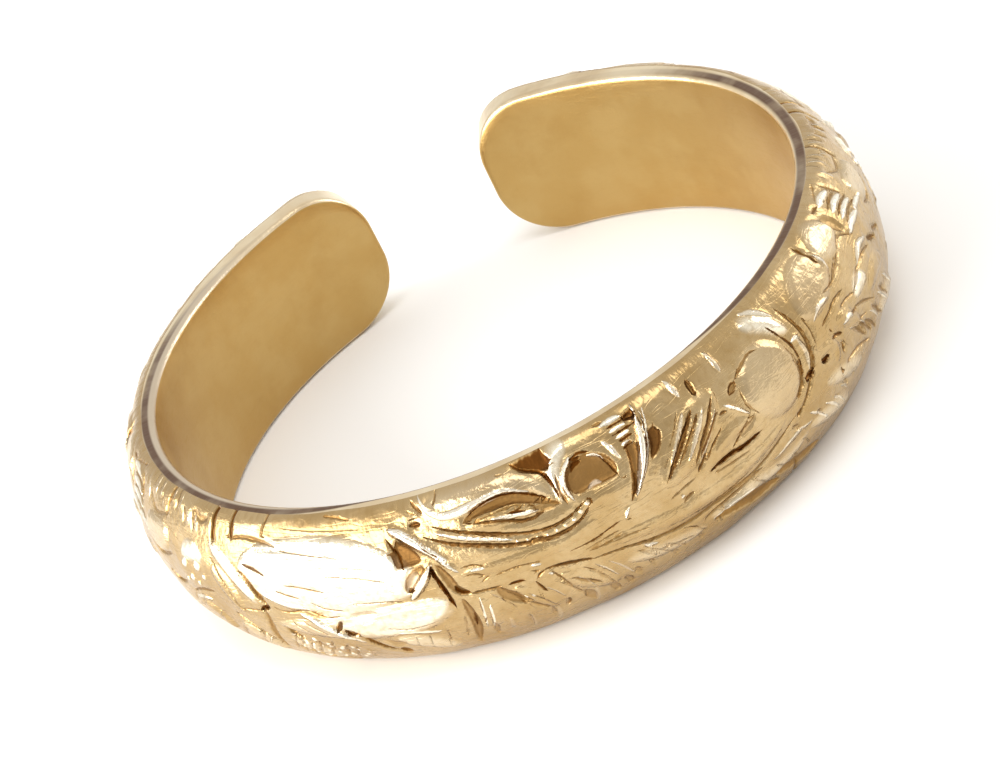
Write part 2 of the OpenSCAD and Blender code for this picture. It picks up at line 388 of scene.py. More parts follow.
@dataclass(frozen=True)
class Pattern:
    """The leaf and scroll pattern, one front that repeats round the ring."""

    repeat_turn: float = 147.0
    # The last number of each form is its tone: how dark a cut is painted with patina and painted shade, or
    # how pale a ridge or leaf is painted with wear and a painted highlight
    leaves: tuple[Stroke, ...] = (
        # broad leaf, and the leaf below it, both painted pale: a painted highlight with some burnishing
        Stroke(((217.6, 3.1), (226, 3.0), (233, 2.94), (240, 2.84), (246.5, 2.6)), 1.6, 0.04, 0.9),
        Stroke(((230.4, 2.12), (236, 1.86), (242, 1.76), (248.8, 1.98)), 0.86, 0.03, 0.85),
        Stroke(((221.5, 1.75), (229, 1.7), (237, 1.62), (244, 1.6), (249, 1.75)), 0.66, 0.06, 0.25),
        Stroke(((213, 1.55), (215.5, 1.1), (217.8, 0.6)), 0.45, 0.06, 0.3),
        Stroke(((221.3, 1.25), (225.5, 0.85), (229.5, 0.5)), 0.5, 0.05, 0.35),
        Stroke(((239, 1.2), (242.7, 0.95), (246.5, 0.55)), 0.5, 0.06, 0.4),
        Stroke(((211.4, 3.46), (214.6, 3.1), (217, 2.76), (219.4, 2.3)), 0.36, 0.07, 1.0),
        # brow over the eye leaf, the eye leaf and the ground below it
        Stroke(((250, 3.85), (257, 3.84), (264, 3.72), (267.2, 3.3)), 0.42, 0.05, 0.2),
        Stroke(((255, 3.36), (261.5, 3.34), (267.6, 3.14)), 0.46, 0.06, 0.0),
        Stroke(((252, 2.5), (258, 2.4), (265, 2.36), (271, 2.5)), 0.34, 0.03, 0.0),
        Stroke(((269.6, 2.84), (272.6, 2.9), (276, 2.78)), 0.34, 0.04, 0.0),
        Stroke(((268.1, 3.14), (268.2, 3.5), (269.1, 3.8), (271.6, 3.96)), 0.34, 0.07, 1.0),
        # feather, disc and the smooth leaf behind its arcs
        Stroke(((280.4, 2.35), (286, 2.85), (292.6, 3.4)), 0.85, 0.06, 0.0),
        Stroke(((288.5, 2.3), (292, 2.5), (295.5, 2.42)), 0.34, 0.05, 0.0),
        Stroke(((310.6, 3.05), (315, 3.35), (321, 3.5)), 1.0, 0.07, 0.12),
        Stroke(((310.5, 2.35), (312.8, 2.1), (312.3, 1.75)), 0.3, 0.06, 0.0),
        Stroke(((315.2, 2.45), (318, 2.2), (320.5, 1.75)), 0.45, 0.06, 0.0),
        Stroke(((301.8, 3.84), (304.6, 3.64), (307.4, 3.2)), 0.4, 0.06, 0.9),
        # long sweep and the small leaves that hang from it; the lower right ones are painted pale, a painted
        # highlight with some burnishing
        Stroke(((268, 1.98), (276, 1.76), (284, 1.58), (292, 1.62), (300, 1.86)), 0.42, 0.05, 0.0),
        Stroke(((252.8, 1.82), (253.6, 1.35), (253, 0.9)), 0.36, 0.05, 0.0),
        Stroke(((257.6, 1.8), (260, 1.3), (261.6, 0.85)), 0.42, 0.05, 0.0),
        Stroke(((263.6, 1.7), (266.6, 1.25), (270.3, 0.8)), 0.5, 0.05, 0.0),
        Stroke(((272, 1.24), (278, 0.98), (283.6, 0.85)), 0.4, 0.06, 0.25),
        Stroke(((284.5, 1.0), (291, 1.02), (297, 0.9), (303, 1.05)), 0.36, 0.06, 0.35),
        Stroke(((303.5, 1.12), (309, 0.9), (314.5, 0.55)), 0.44, 0.06, 0.4),
        Stroke(((308.5, 1.64), (313, 1.38), (318.5, 1.05)), 0.42, 0.06, 0.35),
        # right side and far left side
        Stroke(((320.4, 3.5), (324, 3.6), (328, 3.5)), 0.75, 0.05, 0.25),
        Stroke(((321.6, 2.3), (324, 2.42), (326.4, 2.3)), 0.44, 0.05, 0.85),
        Stroke(((325.6, 2.0), (330.5, 2.1), (335, 1.85)), 0.5, 0.05, 0.0),
        Stroke(((339.5, 3.25), (343.5, 3.05), (347, 3.3)), 0.8, 0.06, 0.3),
        Stroke(((327, 1.2), (333, 1.1), (339, 0.85)), 0.6, 0.06, 0.4),
        Stroke(((203.9, 2.98), (206.4, 3.14), (209.4, 3.06)), 0.46, 0.05, 1.0),
        Stroke(((211.6, 3.0), (214, 2.55), (215.8, 1.95)), 0.55, 0.05, 0.0),
        Stroke(((203.6, 1.75), (207, 1.6), (210.4, 1.2)), 0.6, 0.06, 0.0),
    )
    ridges: tuple[Stroke, ...] = (
        # lights along the broad leaf and the leaf below it
        Stroke(((222.2, 3.45), (229, 3.42), (236, 3.3)), 0.14, 0.04, 0.7),
        Stroke(((221.6, 2.6), (225, 2.35), (229.5, 2.2)), 0.16, 0.04, 0.6),
        Stroke(((226.6, 2.12), (229.4, 1.86), (232, 1.56), (234.2, 1.2)), 0.17, 0.05, 0.7),
        Stroke(((240, 1.42), (243, 1.32), (245.8, 1.24)), 0.12, 0.04, 0.8),
        # angular ridges between the broad leaf and the eye leaf
        Stroke(((244.0, 3.66), (246, 3.5), (248, 3.26), (249.7, 2.98)), 0.2, 0.08, 1.0),
        Stroke(((248.4, 3.3), (249.9, 3.04), (251.2, 2.84)), 0.09, 0.05, 1.0),
        Stroke(((249.4, 3.0), (250.7, 2.78), (251.9, 2.56)), 0.09, 0.05, 0.9),
        Stroke(((244.2, 2.2), (246.4, 2.52), (248.8, 2.86)), 0.22, 0.09, 1.0),
        # light over the upper lid, the lens and the rope under the eye leaf
        Stroke(
            ((249.3, 4.0), (250.8, 3.75), (253, 3.63), (257, 3.66), (261, 3.69), (264.6, 3.52)),
            0.15, 0.05, 0.9,
        ),
        Stroke(((258.5, 3.34), (261.5, 3.26), (264.8, 3.17)), 0.11, 0.05, 0.8),
        Stroke(((250.6, 3.41), (254, 3.2), (257.6, 3.0), (260.4, 2.82)), 0.1, 0.06, 0.7),
        # crescents beside the round hollow
        Stroke(((269.5, 3.02), (269.05, 3.3), (269.8, 3.58), (271.6, 3.74)), 0.12, 0.07, 1.0),
        Stroke(((273.4, 3.64), (274.6, 3.58), (275.4, 3.42)), 0.07, 0.04, 1.0),
        Stroke(((276.1, 3.72), (276.8, 3.55), (277.3, 3.3)), 0.12, 0.04, 0.7),
        Stroke(((271.6, 3.12), (272.7, 3.17), (273.8, 3.11)), 0.12, 0.03, 0.35),
        # fan: its blade, the thin line beside it and the ends of the hatching
        Stroke(((276.7, 2.52), (279.2, 3.0), (280.9, 3.4), (282.2, 3.95)), 0.19, 0.1, 1.0),
        Stroke(((278, 2.66), (280.4, 3.08), (282, 3.45), (283.4, 3.85)), 0.07, 0.05, 0.9),
        Stroke(((277.0, 3.91), (278.6, 3.91), (280.2, 3.9)), 0.08, 0.04, 1.0),
        Stroke(((277.6, 3.77), (279, 3.77), (280.4, 3.77)), 0.07, 0.04, 1.0),
        Stroke(((278.0, 3.635), (279.2, 3.635), (280.3, 3.64)), 0.07, 0.04, 1.0),
        Stroke(((278.1, 3.49), (278.9, 3.49), (279.7, 3.5)), 0.07, 0.04, 1.0),
        Stroke(((274.2, 2.2), (274.7, 2.32), (275.3, 2.4)), 0.08, 0.05, 1.0),
        # feather: the light edges of its barbs, and the fold at its tip
        Stroke(((282.3, 2.7), (284.5, 3.0), (287.4, 3.4)), 0.11, 0.05, 0.4),
        Stroke(((284.6, 2.56), (287, 2.88), (290, 3.26)), 0.11, 0.05, 0.4),
        Stroke(((286.1, 2.38), (288.8, 2.74), (291.4, 3.1)), 0.1, 0.05, 0.35),
        Stroke(((292.5, 3.05), (293.9, 2.82), (295.3, 2.54)), 0.09, 0.07, 1.0),
        # lights over the disc and between the arcs beside it
        Stroke(((303.6, 3.95), (305.6, 3.8), (307.2, 3.55)), 0.12, 0.05, 0.7),
        Stroke(((306.4, 2.98), (307.3, 2.99), (308.3, 2.97)), 0.08, 0.05, 0.9),
        Stroke(((307.5, 3.0), (307.6, 2.6), (306.6, 2.25)), 0.14, 0.06, 0.3),
        Stroke(((288.0, 3.96), (288.3, 3.8), (288.4, 3.62)), 0.14, 0.04, 0.7),
        Stroke(((295.2, 3.92), (295.4, 3.7), (295.3, 3.5)), 0.14, 0.04, 0.4),
        Stroke(((319.9, 3.62), (320.2, 3.42), (320.3, 3.2)), 0.1, 0.05, 0.8),
        Stroke(((311.8, 2.86), (313.6, 3.0), (316.4, 2.94)), 0.12, 0.04, 0.6),
        Stroke(((316.0, 2.24), (317.6, 2.28), (319, 2.2)), 0.13, 0.05, 0.8),
        # lights below the middle line
        Stroke(((253.2, 2.52), (254.2, 2.52), (255.2, 2.49)), 0.08, 0.04, 1.0),
        Stroke(((260.8, 2.16), (261.5, 2.15), (262.1, 2.12)), 0.08, 0.04, 1.0),
        Stroke(((262.4, 1.85), (263.1, 1.8)), 0.07, 0.04, 0.8),
        Stroke(((252.9, 1.88), (252.3, 1.4), (251.5, 0.95)), 0.07, 0.05, 1.0),
        Stroke(((253.7, 1.62), (253, 1.2), (252.2, 0.85)), 0.08, 0.05, 1.0),
        Stroke(((258.2, 1.55), (258.6, 1.46)), 0.08, 0.04, 1.0),
        Stroke(((259.2, 1.54), (259.5, 1.44)), 0.07, 0.04, 0.9),
        Stroke(((274.8, 1.42), (276.6, 1.28)), 0.09, 0.05, 0.7),
        Stroke(((284.6, 0.92), (288, 1.04), (292, 1.0)), 0.1, 0.05, 0.5),
        Stroke(((296, 1.2), (300.5, 1.32), (304, 1.24)), 0.1, 0.05, 0.5),
        # ticks and folds of the right side, and lights of the far left side
        Stroke(((330.0, 3.8), (332.4, 3.8), (335.2, 3.74)), 0.15, 0.05, 1.0),
        Stroke(((330.8, 3.54), (333.6, 3.55), (336.4, 3.48)), 0.15, 0.05, 1.0),
        Stroke(((330.8, 3.33), (334, 3.34), (337.2, 3.26)), 0.15, 0.05, 1.0),
        Stroke(((329.6, 3.06), (332.4, 3.12), (336, 3.02)), 0.17, 0.05, 0.9),
        Stroke(((325.6, 2.64), (329, 2.8), (332, 2.7)), 0.16, 0.06, 0.7),
        Stroke(((335.4, 3.11), (338, 3.05), (340.6, 2.97)), 0.14, 0.05, 1.0),
        Stroke(((203.8, 1.9), (206.4, 2.0), (208.6, 2.02)), 0.14, 0.05, 0.5),
    )
    cuts: tuple[Stroke, ...] = (
        # groove that ends the broad leaf, with its dark corner and the crack below
        Stroke(((217.4, 3.0), (218.8, 2.88), (220, 2.6), (221.1, 2.26)), 0.21, -0.11, 0.8),
        Stroke(((219.4, 2.1), (220.3, 2.17), (221.6, 2.24)), 0.12, -0.12, 0.95),
        Stroke(((220.1, 2.1), (219.8, 1.75), (219.2, 1.4), (218, 0.8)), 0.16, -0.07, 0.5),
        Stroke(((215.4, 2.06), (217.5, 2.06), (219.6, 2.1)), 0.07, -0.04, 0.6),
        Stroke(
            ((222.4, 2.26), (223.8, 2.15), (226, 2.15), (228, 2.22), (230.5, 2.03), (234, 2.08)),
            0.08, -0.05, 0.7,
        ),
        Stroke(((218.6, 3.2), (221, 3.12), (223, 3.01)), 0.09, -0.05, 0.9),
        Stroke(((215.6, 3.62), (219, 3.67), (223, 3.64), (225.8, 3.57)), 0.09, -0.05, 0.6),
        # veins of the broad leaf and its upper outline
        Stroke(((226.4, 3.52), (230, 3.45), (234, 3.36)), 0.06, -0.03, 0.6),
        Stroke(((226, 2.84), (229, 2.78), (232.6, 2.66)), 0.07, -0.03, 0.7),
        Stroke(((224.2, 2.7), (226, 2.6), (228.2, 2.52)), 0.08, -0.03, 0.75),
        Stroke(((229.6, 2.46), (231.6, 2.28), (234.4, 2.18)), 0.07, -0.03, 0.65),
        Stroke(((233, 3.0), (238, 2.9), (242, 2.72)), 0.05, -0.02, 0.5),
        Stroke(((231.4, 3.18), (237, 3.12), (241, 3.0)), 0.05, -0.02, 0.25),
        Stroke(((236, 2.36), (239.6, 2.3), (243, 2.2)), 0.06, -0.03, 0.55),
        Stroke(((233.6, 3.98), (236, 3.95), (238.4, 3.9)), 0.05, -0.03, 0.7),
        Stroke(((226, 3.88), (232, 3.82), (240, 3.74)), 0.05, -0.02, 0.35),
        Stroke(((221.6, 3.84), (228, 3.83), (236, 3.84), (246.6, 3.86)), 0.34, -0.015, 0.17),
        # lines and blobs on the leaf below
        Stroke(((234.6, 2.06), (236.4, 2.04), (238.8, 2.04)), 0.2, -0.05, 0.35),
        Stroke(((222.3, 1.7), (223, 1.5), (224.2, 1.26)), 0.18, -0.08, 0.65),
        Stroke(((231.5, 1.64), (232.3, 1.8), (233, 1.94)), 0.12, -0.08, 0.8),
        Stroke(((232.6, 1.66), (233.7, 1.56), (234.6, 1.5)), 0.17, -0.1, 0.9),
        Stroke(((234.2, 1.48), (235.2, 1.18), (236.4, 0.88), (238, 0.66)), 0.17, -0.09, 0.8),
        Stroke(((237.2, 1.2), (238.6, 1.0), (240.2, 1.12)), 0.2, -0.04, 0.3),
        Stroke(((239, 1.62), (242, 1.5), (246.4, 1.56)), 0.06, -0.03, 0.5),
        Stroke(((213, 1.85), (216, 1.42), (218.2, 0.9)), 0.12, -0.07, 0.45),
        Stroke(((221, 0.95), (224.5, 0.55), (229, 0.3)), 0.14, -0.07, 0.4),
        Stroke(((224.5, 1.9), (226.4, 1.66), (228, 1.5)), 0.05, -0.03, 0.5),
        Stroke(((226.4, 1.94), (228, 1.74), (230, 1.52)), 0.05, -0.03, 0.5),
        # angular hollows, and the painted shade on their dark sides
        Stroke(((244.1, 3.2), (245.8, 3.12), (247.7, 2.98)), 0.5, -0.1, 0.82, Taper.TAIL),
        Stroke(((243.6, 3.52), (244.5, 3.24), (245.1, 2.86)), 0.08, -0.06, 1.0),
        Stroke(((244.1, 2.36), (245.6, 2.66), (247.6, 2.86)), 0.24, -0.08, 0.55),
        Stroke(((244.3, 2.36), (244.9, 2.43), (245.7, 2.45)), 0.08, -0.05, 0.9),
        Stroke(((248.7, 2.88), (248.6, 2.6), (249, 2.3), (249.4, 1.74)), 0.1, -0.11, 1.0),
        Stroke(((249.2, 2.84), (250.1, 2.5), (250.6, 2.2), (252.2, 1.98)), 0.2, -0.08, 0.6),
        Stroke(((250.4, 2.26), (250.9, 2.1), (252.2, 2.02)), 0.1, -0.07, 1.0),
        Stroke(((248.2, 3.24), (249.3, 3.08), (250.2, 2.94)), 0.045, -0.04, 0.9),
        Stroke(((250.6, 1.95), (250.7, 1.6), (250.4, 1.1), (249, 0.45)), 0.2, -0.08, 0.5),
        Stroke(((251.2, 1.56), (250.8, 1.3), (250.2, 1.0)), 0.08, -0.05, 0.9),
        Stroke(((252.3, 1.28), (251.6, 1.12)), 0.07, -0.05, 0.8),
        # eye leaf: the upper lid, the lens and its pupil
        Stroke(
            ((254.6, 3.42), (257, 3.54), (260, 3.58), (262.4, 3.53), (265, 3.36), (267.8, 3.1)),
            0.2, -0.08, 0.74,
        ),
        Stroke(
            ((255.4, 3.5), (257.4, 3.6), (260, 3.65), (262.8, 3.58), (265.4, 3.4), (267.4, 3.18)),
            0.055, -0.04, 1.0,
        ),
        Stroke(((264.2, 3.24), (266, 3.17), (267.6, 3.13)), 0.17, -0.07, 0.55),
        Stroke(((256.2, 3.42), (259, 3.42), (262, 3.42), (264.8, 3.24)), 0.045, -0.03, 0.6),
        Stroke(((254.8, 3.44), (257.6, 3.32), (260.4, 3.2), (263, 3.08), (265.8, 3.1)), 0.08, -0.07, 0.85),
        Stroke(((260.6, 3.35), (262, 3.31), (263.3, 3.25)), 0.06, -0.05, 1.0),
        Stroke(((263.7, 3.35), (264.4, 3.28), (265, 3.2)), 0.05, -0.04, 0.8),
        Stroke(((257, 3.36), (258.6, 3.31), (260, 3.29)), 0.04, -0.03, 0.6),
        # two long lines under the eye leaf, with the dark tip and the end of the rope
        Stroke(
            ((250, 3.56), (253, 3.37), (256, 3.2), (259, 3.02),
             (262, 2.86), (265, 2.78), (268, 2.81), (271, 2.98)),
            0.075, -0.07, 0.8,
        ),
        Stroke(
            ((248.8, 3.4), (252, 3.17), (256, 2.95), (259, 2.77),
             (262, 2.64), (265.6, 2.57), (269, 2.64), (271.4, 2.9)),
            0.1, -0.08, 0.8,
        ),
        Stroke(((262, 2.67), (263, 2.67), (263.9, 2.65)), 0.1, -0.05, 0.8),
        Stroke(((270.9, 2.99), (271.4, 2.92), (271.1, 2.83)), 0.06, -0.05, 0.9),
        Stroke(((247.3, 3.63), (248.1, 3.63), (249.1, 3.62)), 0.1, -0.07, 0.9),
        # short strokes at the top, left of the eye leaf
        Stroke(((248.2, 3.98), (248.9, 3.88), (249.7, 3.78)), 0.08, -0.06, 0.8),
        Stroke(((247.4, 3.88), (248, 3.82), (248.6, 3.79)), 0.06, -0.04, 0.7),
        Stroke(((251.4, 3.84), (251.8, 3.92), (252.1, 4.0)), 0.07, -0.05, 0.6),
        Stroke(((258, 3.86), (260, 3.82)), 0.04, -0.02, 0.4),
        Stroke(((261, 3.94), (262.4, 3.92)), 0.04, -0.02, 0.6),
        # dark recess over the brow, painted with patina and painted shade, and the line down to the crescents
        Stroke(((268.6, 3.86), (266.6, 3.88), (263.4, 3.96)), 0.3, -0.1, 0.97, Taper.TAIL),
        Stroke(((263.2, 4.0), (265.2, 3.86), (267, 3.72), (267.6, 3.5), (267.9, 3.2)), 0.085, -0.09, 1.0),
        Stroke(((268.7, 3.6), (268.3, 3.3), (268.5, 3.02)), 0.09, -0.05, 0.8),
        Stroke(((268.0, 3.76), (268.8, 3.77), (269.5, 3.75)), 0.035, -0.02, 0.7),
        # round hollow, deepest under its upper rim, with painted shade along that rim
        Stroke(
            ((269.8, 3.16), (271.2, 3.34), (272.9, 3.39), (274.6, 3.31), (276.1, 3.12)),
            0.54, -0.1, 0.74,
        ),
        Stroke(((271.0, 3.68), (272.6, 3.73), (274.2, 3.67)), 0.07, -0.06, 1.0),
        Stroke(((270.6, 3.5), (271.4, 3.6), (272.6, 3.62)), 0.12, -0.05, 1.0),
        Stroke(((274.6, 3.58), (275.5, 3.36), (276.0, 3.04)), 0.06, -0.05, 0.95),
        Stroke(((276.1, 3.0), (276.5, 2.96), (276.8, 2.99)), 0.05, -0.04, 0.8),
        # fan: the wedge, the line beside the blade, the dark patch of painted shade and the hatching
        Stroke(((279.5, 3.5), (278.6, 3.1), (277.4, 2.76), (275.9, 2.46)), 0.26, -0.09, 0.78, Taper.TAIL),
        Stroke(((275.9, 2.47), (277, 2.68), (277.9, 2.96)), 0.05, -0.05, 0.9),
        Stroke(((277.4, 2.6), (279.8, 2.99), (281.3, 3.3), (282.6, 3.72)), 0.04, -0.05, 1.0),
        Stroke(((283.1, 3.46), (282.2, 3.2), (280.7, 2.98)), 0.28, -0.1, 0.88, Taper.TAIL),
        Stroke(((277.2, 3.84), (279, 3.84), (281.8, 3.83)), 0.05, -0.05, 1.0),
        Stroke(((281.9, 3.85), (281, 3.84), (280, 3.84)), 0.18, -0.09, 0.9, Taper.TAIL),
        Stroke(((277.7, 3.7), (279.2, 3.7), (281.4, 3.7)), 0.05, -0.05, 1.0),
        Stroke(((278.1, 3.565), (279.2, 3.565), (280.4, 3.57)), 0.07, -0.06, 1.0),
        Stroke(((278.1, 3.425), (278.9, 3.425), (279.7, 3.43)), 0.06, -0.05, 1.0),
        Stroke(((276, 3.96), (277.6, 3.95)), 0.04, -0.03, 0.7),
        Stroke(((274.4, 2.16), (274.8, 2.15)), 0.05, -0.04, 0.6),
        # feather
        Stroke(((280.8, 2.42), (283.2, 2.8), (286, 3.2)), 0.04, -0.03, 0.5),
        Stroke(((281.2, 2.46), (283, 2.7), (285.4, 2.98), (288.6, 3.36)), 0.13, -0.08, 0.85),
        Stroke(((283.2, 2.6), (285.4, 2.84), (287.4, 3.06), (289, 3.24)), 0.08, -0.06, 0.75),
        Stroke(((285.4, 2.4), (287.4, 2.7), (289.6, 2.98), (292, 3.32)), 0.1, -0.06, 0.8),
        Stroke(((286.5, 2.48), (288.6, 2.73), (290.4, 2.92), (291.5, 3.01)), 0.11, -0.07, 0.9),
        Stroke(((286.9, 2.3), (288.6, 2.5), (290.9, 2.71)), 0.06, -0.05, 0.8),
        Stroke(((285.2, 2.22), (286.4, 2.34), (287.4, 2.46)), 0.09, -0.06, 0.85),
        Stroke(((283.4, 3.0), (285.4, 3.26), (287.2, 3.5)), 0.04, -0.03, 0.4),
        Stroke(((291.4, 2.93), (292, 2.92), (292.7, 2.9)), 0.06, -0.05, 0.8),
        Stroke(((290.8, 2.17), (293, 2.34), (295.3, 2.54)), 0.06, -0.06, 0.8),
        Stroke(((292.4, 2.26), (294, 2.34), (295.8, 2.42)), 0.16, -0.04, 0.3),
        Stroke(((286.7, 2.05), (290.2, 2.075), (292.6, 2.03), (295.7, 2.06)), 0.1, -0.11, 1.0),
        Stroke(((287, 1.96), (290, 1.89), (293, 1.87)), 0.06, -0.03, 0.45),
        Stroke(((290.6, 3.8), (290.5, 3.64), (290.3, 3.48)), 0.14, -0.07, 0.75),
        Stroke(((280.4, 2.04), (282.4, 2.1), (284.6, 2.15)), 0.06, -0.03, 0.5),
        Stroke(((281.7, 1.78), (282.6, 1.84), (283.8, 1.88)), 0.09, -0.04, 0.55),
        # outline of the disc and the arcs beside it
        Stroke(((294.2, 3.1), (295.1, 3.16), (296, 3.22)), 0.15, -0.07, 0.6),
        Stroke(((296, 3.24), (298, 3.36), (300.2, 3.43), (301.6, 3.36)), 0.07, -0.05, 0.65),
        Stroke(((295.8, 3.06), (295.6, 2.7), (296.4, 2.4)), 0.06, -0.03, 0.4),
        Stroke(((304.7, 3.54), (305.6, 3.26), (306.2, 3.0), (306.3, 2.7), (305.8, 2.4)), 0.06, -0.07, 0.9),
        Stroke(((306.0, 2.62), (305.5, 2.38), (304.7, 2.16), (302.8, 1.96)), 0.12, -0.09, 0.68),
        Stroke(((305.4, 2.13), (306.4, 2.14), (307.6, 2.13)), 0.17, -0.12, 1.0),
        Stroke(
            ((308.2, 3.66), (309, 3.2), (309, 2.8), (308.2, 2.4),
             (306.8, 2.12), (304.6, 1.84), (302.1, 1.63)),
            0.11, -0.08, 0.6,
        ),
        Stroke(((310.5, 3.12), (310.5, 2.8), (309.8, 2.5)), 0.06, -0.05, 0.55),
        Stroke(((309.2, 2.12), (310.1, 2.08), (311.1, 2.08)), 0.13, -0.11, 1.0),
        Stroke(((301.6, 1.68), (302.3, 1.65), (302.9, 1.72)), 0.12, -0.07, 0.8),
        # outline of the smooth leaf, and the curl under it
        Stroke(((312.4, 2.65), (315, 2.69), (317, 2.76), (320, 2.72)), 0.08, -0.06, 0.55),
        Stroke(((315.6, 3.1), (318.8, 3.0), (321.2, 3.12), (323.2, 3.24)), 0.07, -0.05, 0.5),
        Stroke(((317.2, 2.54), (319.6, 2.5), (322.2, 2.38)), 0.08, -0.05, 0.5),
        Stroke(((312.9, 2.26), (314.1, 2.22), (315.4, 2.12)), 0.09, -0.08, 0.9),
        Stroke(((313.3, 2.48), (313.7, 2.36)), 0.06, -0.05, 0.8),
        Stroke(((314.7, 2.0), (314.5, 1.86), (314.3, 1.74)), 0.12, -0.08, 0.85),
        Stroke(((312, 1.54), (312.7, 1.48)), 0.12, -0.07, 0.75),
        Stroke(((318.4, 2.22), (319.6, 2.17), (320.8, 2.1)), 0.07, -0.05, 0.8),
        Stroke(((319.6, 1.9), (321, 1.84), (322.6, 1.76)), 0.06, -0.04, 0.6),
        # dashes along the middle
        Stroke(((252.4, 2.63), (254, 2.62), (255.3, 2.54)), 0.045, -0.04, 0.75),
        Stroke(((252, 2.42), (253.8, 2.41), (255.2, 2.28)), 0.05, -0.04, 0.6),
        Stroke(((254, 2.18), (254.7, 2.23), (255.4, 2.28)), 0.05, -0.04, 0.8),
        Stroke(((256, 2.24), (259, 2.26), (262.2, 2.19)), 0.045, -0.04, 0.6),
        Stroke(((260.4, 2.06), (261.4, 1.99), (262.3, 1.94)), 0.05, -0.04, 0.7),
        Stroke(((260.8, 1.83), (261.4, 1.9), (262.2, 1.94)), 0.07, -0.05, 0.9),
        Stroke(((252, 2.0), (254, 1.95), (256.2, 1.93)), 0.09, -0.05, 0.7),
        Stroke(((257.1, 1.91), (258.2, 1.9), (259.2, 1.89)), 0.08, -0.07, 1.0),
        Stroke(((262.2, 1.97), (264.6, 1.89), (266.6, 1.8), (268.4, 1.72)), 0.1, -0.08, 0.85),
        Stroke(((266, 2.13), (269, 2.12), (271.5, 2.17), (273.5, 2.23)), 0.05, -0.05, 0.9),
        Stroke(((267.8, 2.0), (270, 2.02), (272.8, 2.04)), 0.045, -0.03, 0.5),
        Stroke(((268.2, 1.94), (271, 1.92), (273.4, 1.98)), 0.07, -0.04, 0.6),
        Stroke(((271, 1.88), (273.6, 1.86), (276.4, 1.78)), 0.05, -0.03, 0.55),
        # sweep line, and the small leaves under it
        Stroke(
            ((267.6, 1.73), (272, 1.6), (276, 1.43), (280, 1.3), (284, 1.27),
             (290, 1.29), (294, 1.35), (298, 1.54), (302, 1.72)),
            0.09, -0.08, 0.6,
        ),
        Stroke(((283.4, 1.02), (284.4, 1.1), (288, 1.16), (293.6, 1.27)), 0.09, -0.06, 0.5),
        Stroke(((255.4, 1.94), (256.2, 1.68), (257.4, 1.48), (258.8, 1.28)), 0.26, -0.07, 0.52),
        Stroke(((258.2, 1.3), (259.2, 1.1), (260.3, 0.9)), 0.1, -0.05, 0.4),
        Stroke(((260.4, 1.78), (260.7, 1.6), (261.1, 1.42)), 0.07, -0.06, 0.9),
        Stroke(((262.8, 1.9), (263.6, 1.6), (264.3, 1.26)), 0.05, -0.05, 0.6),
        Stroke(((264.6, 1.54), (266.2, 1.3), (268, 1.02)), 0.12, -0.06, 0.5),
        Stroke(((263.1, 0.98), (262.9, 0.84), (262.3, 0.7)), 0.07, -0.06, 0.7),
        # two wide hollows along the lower edge, darkened as a painted dark reflection of the floor's shade
        Stroke(((285.0, 0.84), (288.6, 0.82), (292, 0.64), (297, 0.44)), 0.36, -0.1, 0.65),
        Stroke(((296, 0.72), (300.5, 0.55), (306, 0.36)), 0.26, -0.07, 0.55),
        Stroke(((314, 1.5), (318, 1.4), (322, 1.15)), 0.1, -0.06, 0.5),
        Stroke(((276.6, 1.1), (279, 0.98), (281.4, 0.9)), 0.07, -0.05, 0.4),
        # right side
        Stroke(((319.2, 3.95), (319.5, 3.7), (319.4, 3.45)), 0.12, -0.08, 0.85),
        Stroke(((328.1, 3.87), (329.2, 3.86), (330.3, 3.83)), 0.07, -0.05, 0.8),
        Stroke(((327.8, 3.72), (328.8, 3.5), (329.6, 3.22)), 0.3, -0.06, 0.3),
        Stroke(((331, 3.64), (333.6, 3.66), (336.6, 3.59)), 0.06, -0.05, 0.55),
        Stroke(((331.2, 3.41), (334, 3.43), (337.2, 3.35)), 0.06, -0.05, 0.5),
        Stroke(((331.2, 3.2), (334.4, 3.23), (338, 3.13)), 0.06, -0.05, 0.5),
        Stroke(((335.4, 3.9), (336.2, 3.68), (337, 3.44)), 0.08, -0.06, 0.6),
        Stroke(((320, 3.02), (322, 3.1), (324.2, 3.2)), 0.09, -0.05, 0.45),
        Stroke(((324.6, 3.22), (327.4, 3.3), (330.2, 3.0)), 0.07, -0.05, 0.4),
        Stroke(((321.4, 2.36), (325, 2.58), (329, 2.6), (331.8, 2.5)), 0.1, -0.06, 0.4),
        Stroke(((332.4, 2.6), (334, 2.44), (335.8, 2.3)), 0.13, -0.08, 0.75),
        Stroke(((336, 2.46), (337.6, 2.32), (339.4, 2.2)), 0.12, -0.07, 0.6),
        Stroke(((320, 2.2), (323, 2.0), (326.4, 1.7)), 0.08, -0.06, 0.5),
        Stroke(((331, 3.88), (333.4, 3.93), (335.4, 3.97)), 0.05, -0.03, 0.6),
        Stroke(((339.6, 3.8), (341.6, 3.6), (343.4, 3.5), (347, 3.62)), 0.08, -0.05, 0.35),
        Stroke(((340, 2.75), (343.4, 2.6), (347.6, 2.8)), 0.1, -0.07, 0.5),
        Stroke(((344, 2.2), (347, 2.1), (350, 2.2)), 0.12, -0.08, 0.6),
        Stroke(((339, 1.6), (343, 1.45), (348, 1.1)), 0.12, -0.08, 0.5),
        # far left side
        Stroke(((203.8, 2.02), (206.4, 2.2), (210.2, 2.3)), 0.08, -0.06, 0.7),
        Stroke(((211.4, 3.2), (213.4, 2.8), (215, 2.3), (216.2, 1.9)), 0.06, -0.05, 0.35),
        Stroke(((207, 3.9), (209, 3.8), (211, 3.86)), 0.14, -0.05, 0.4),
    )
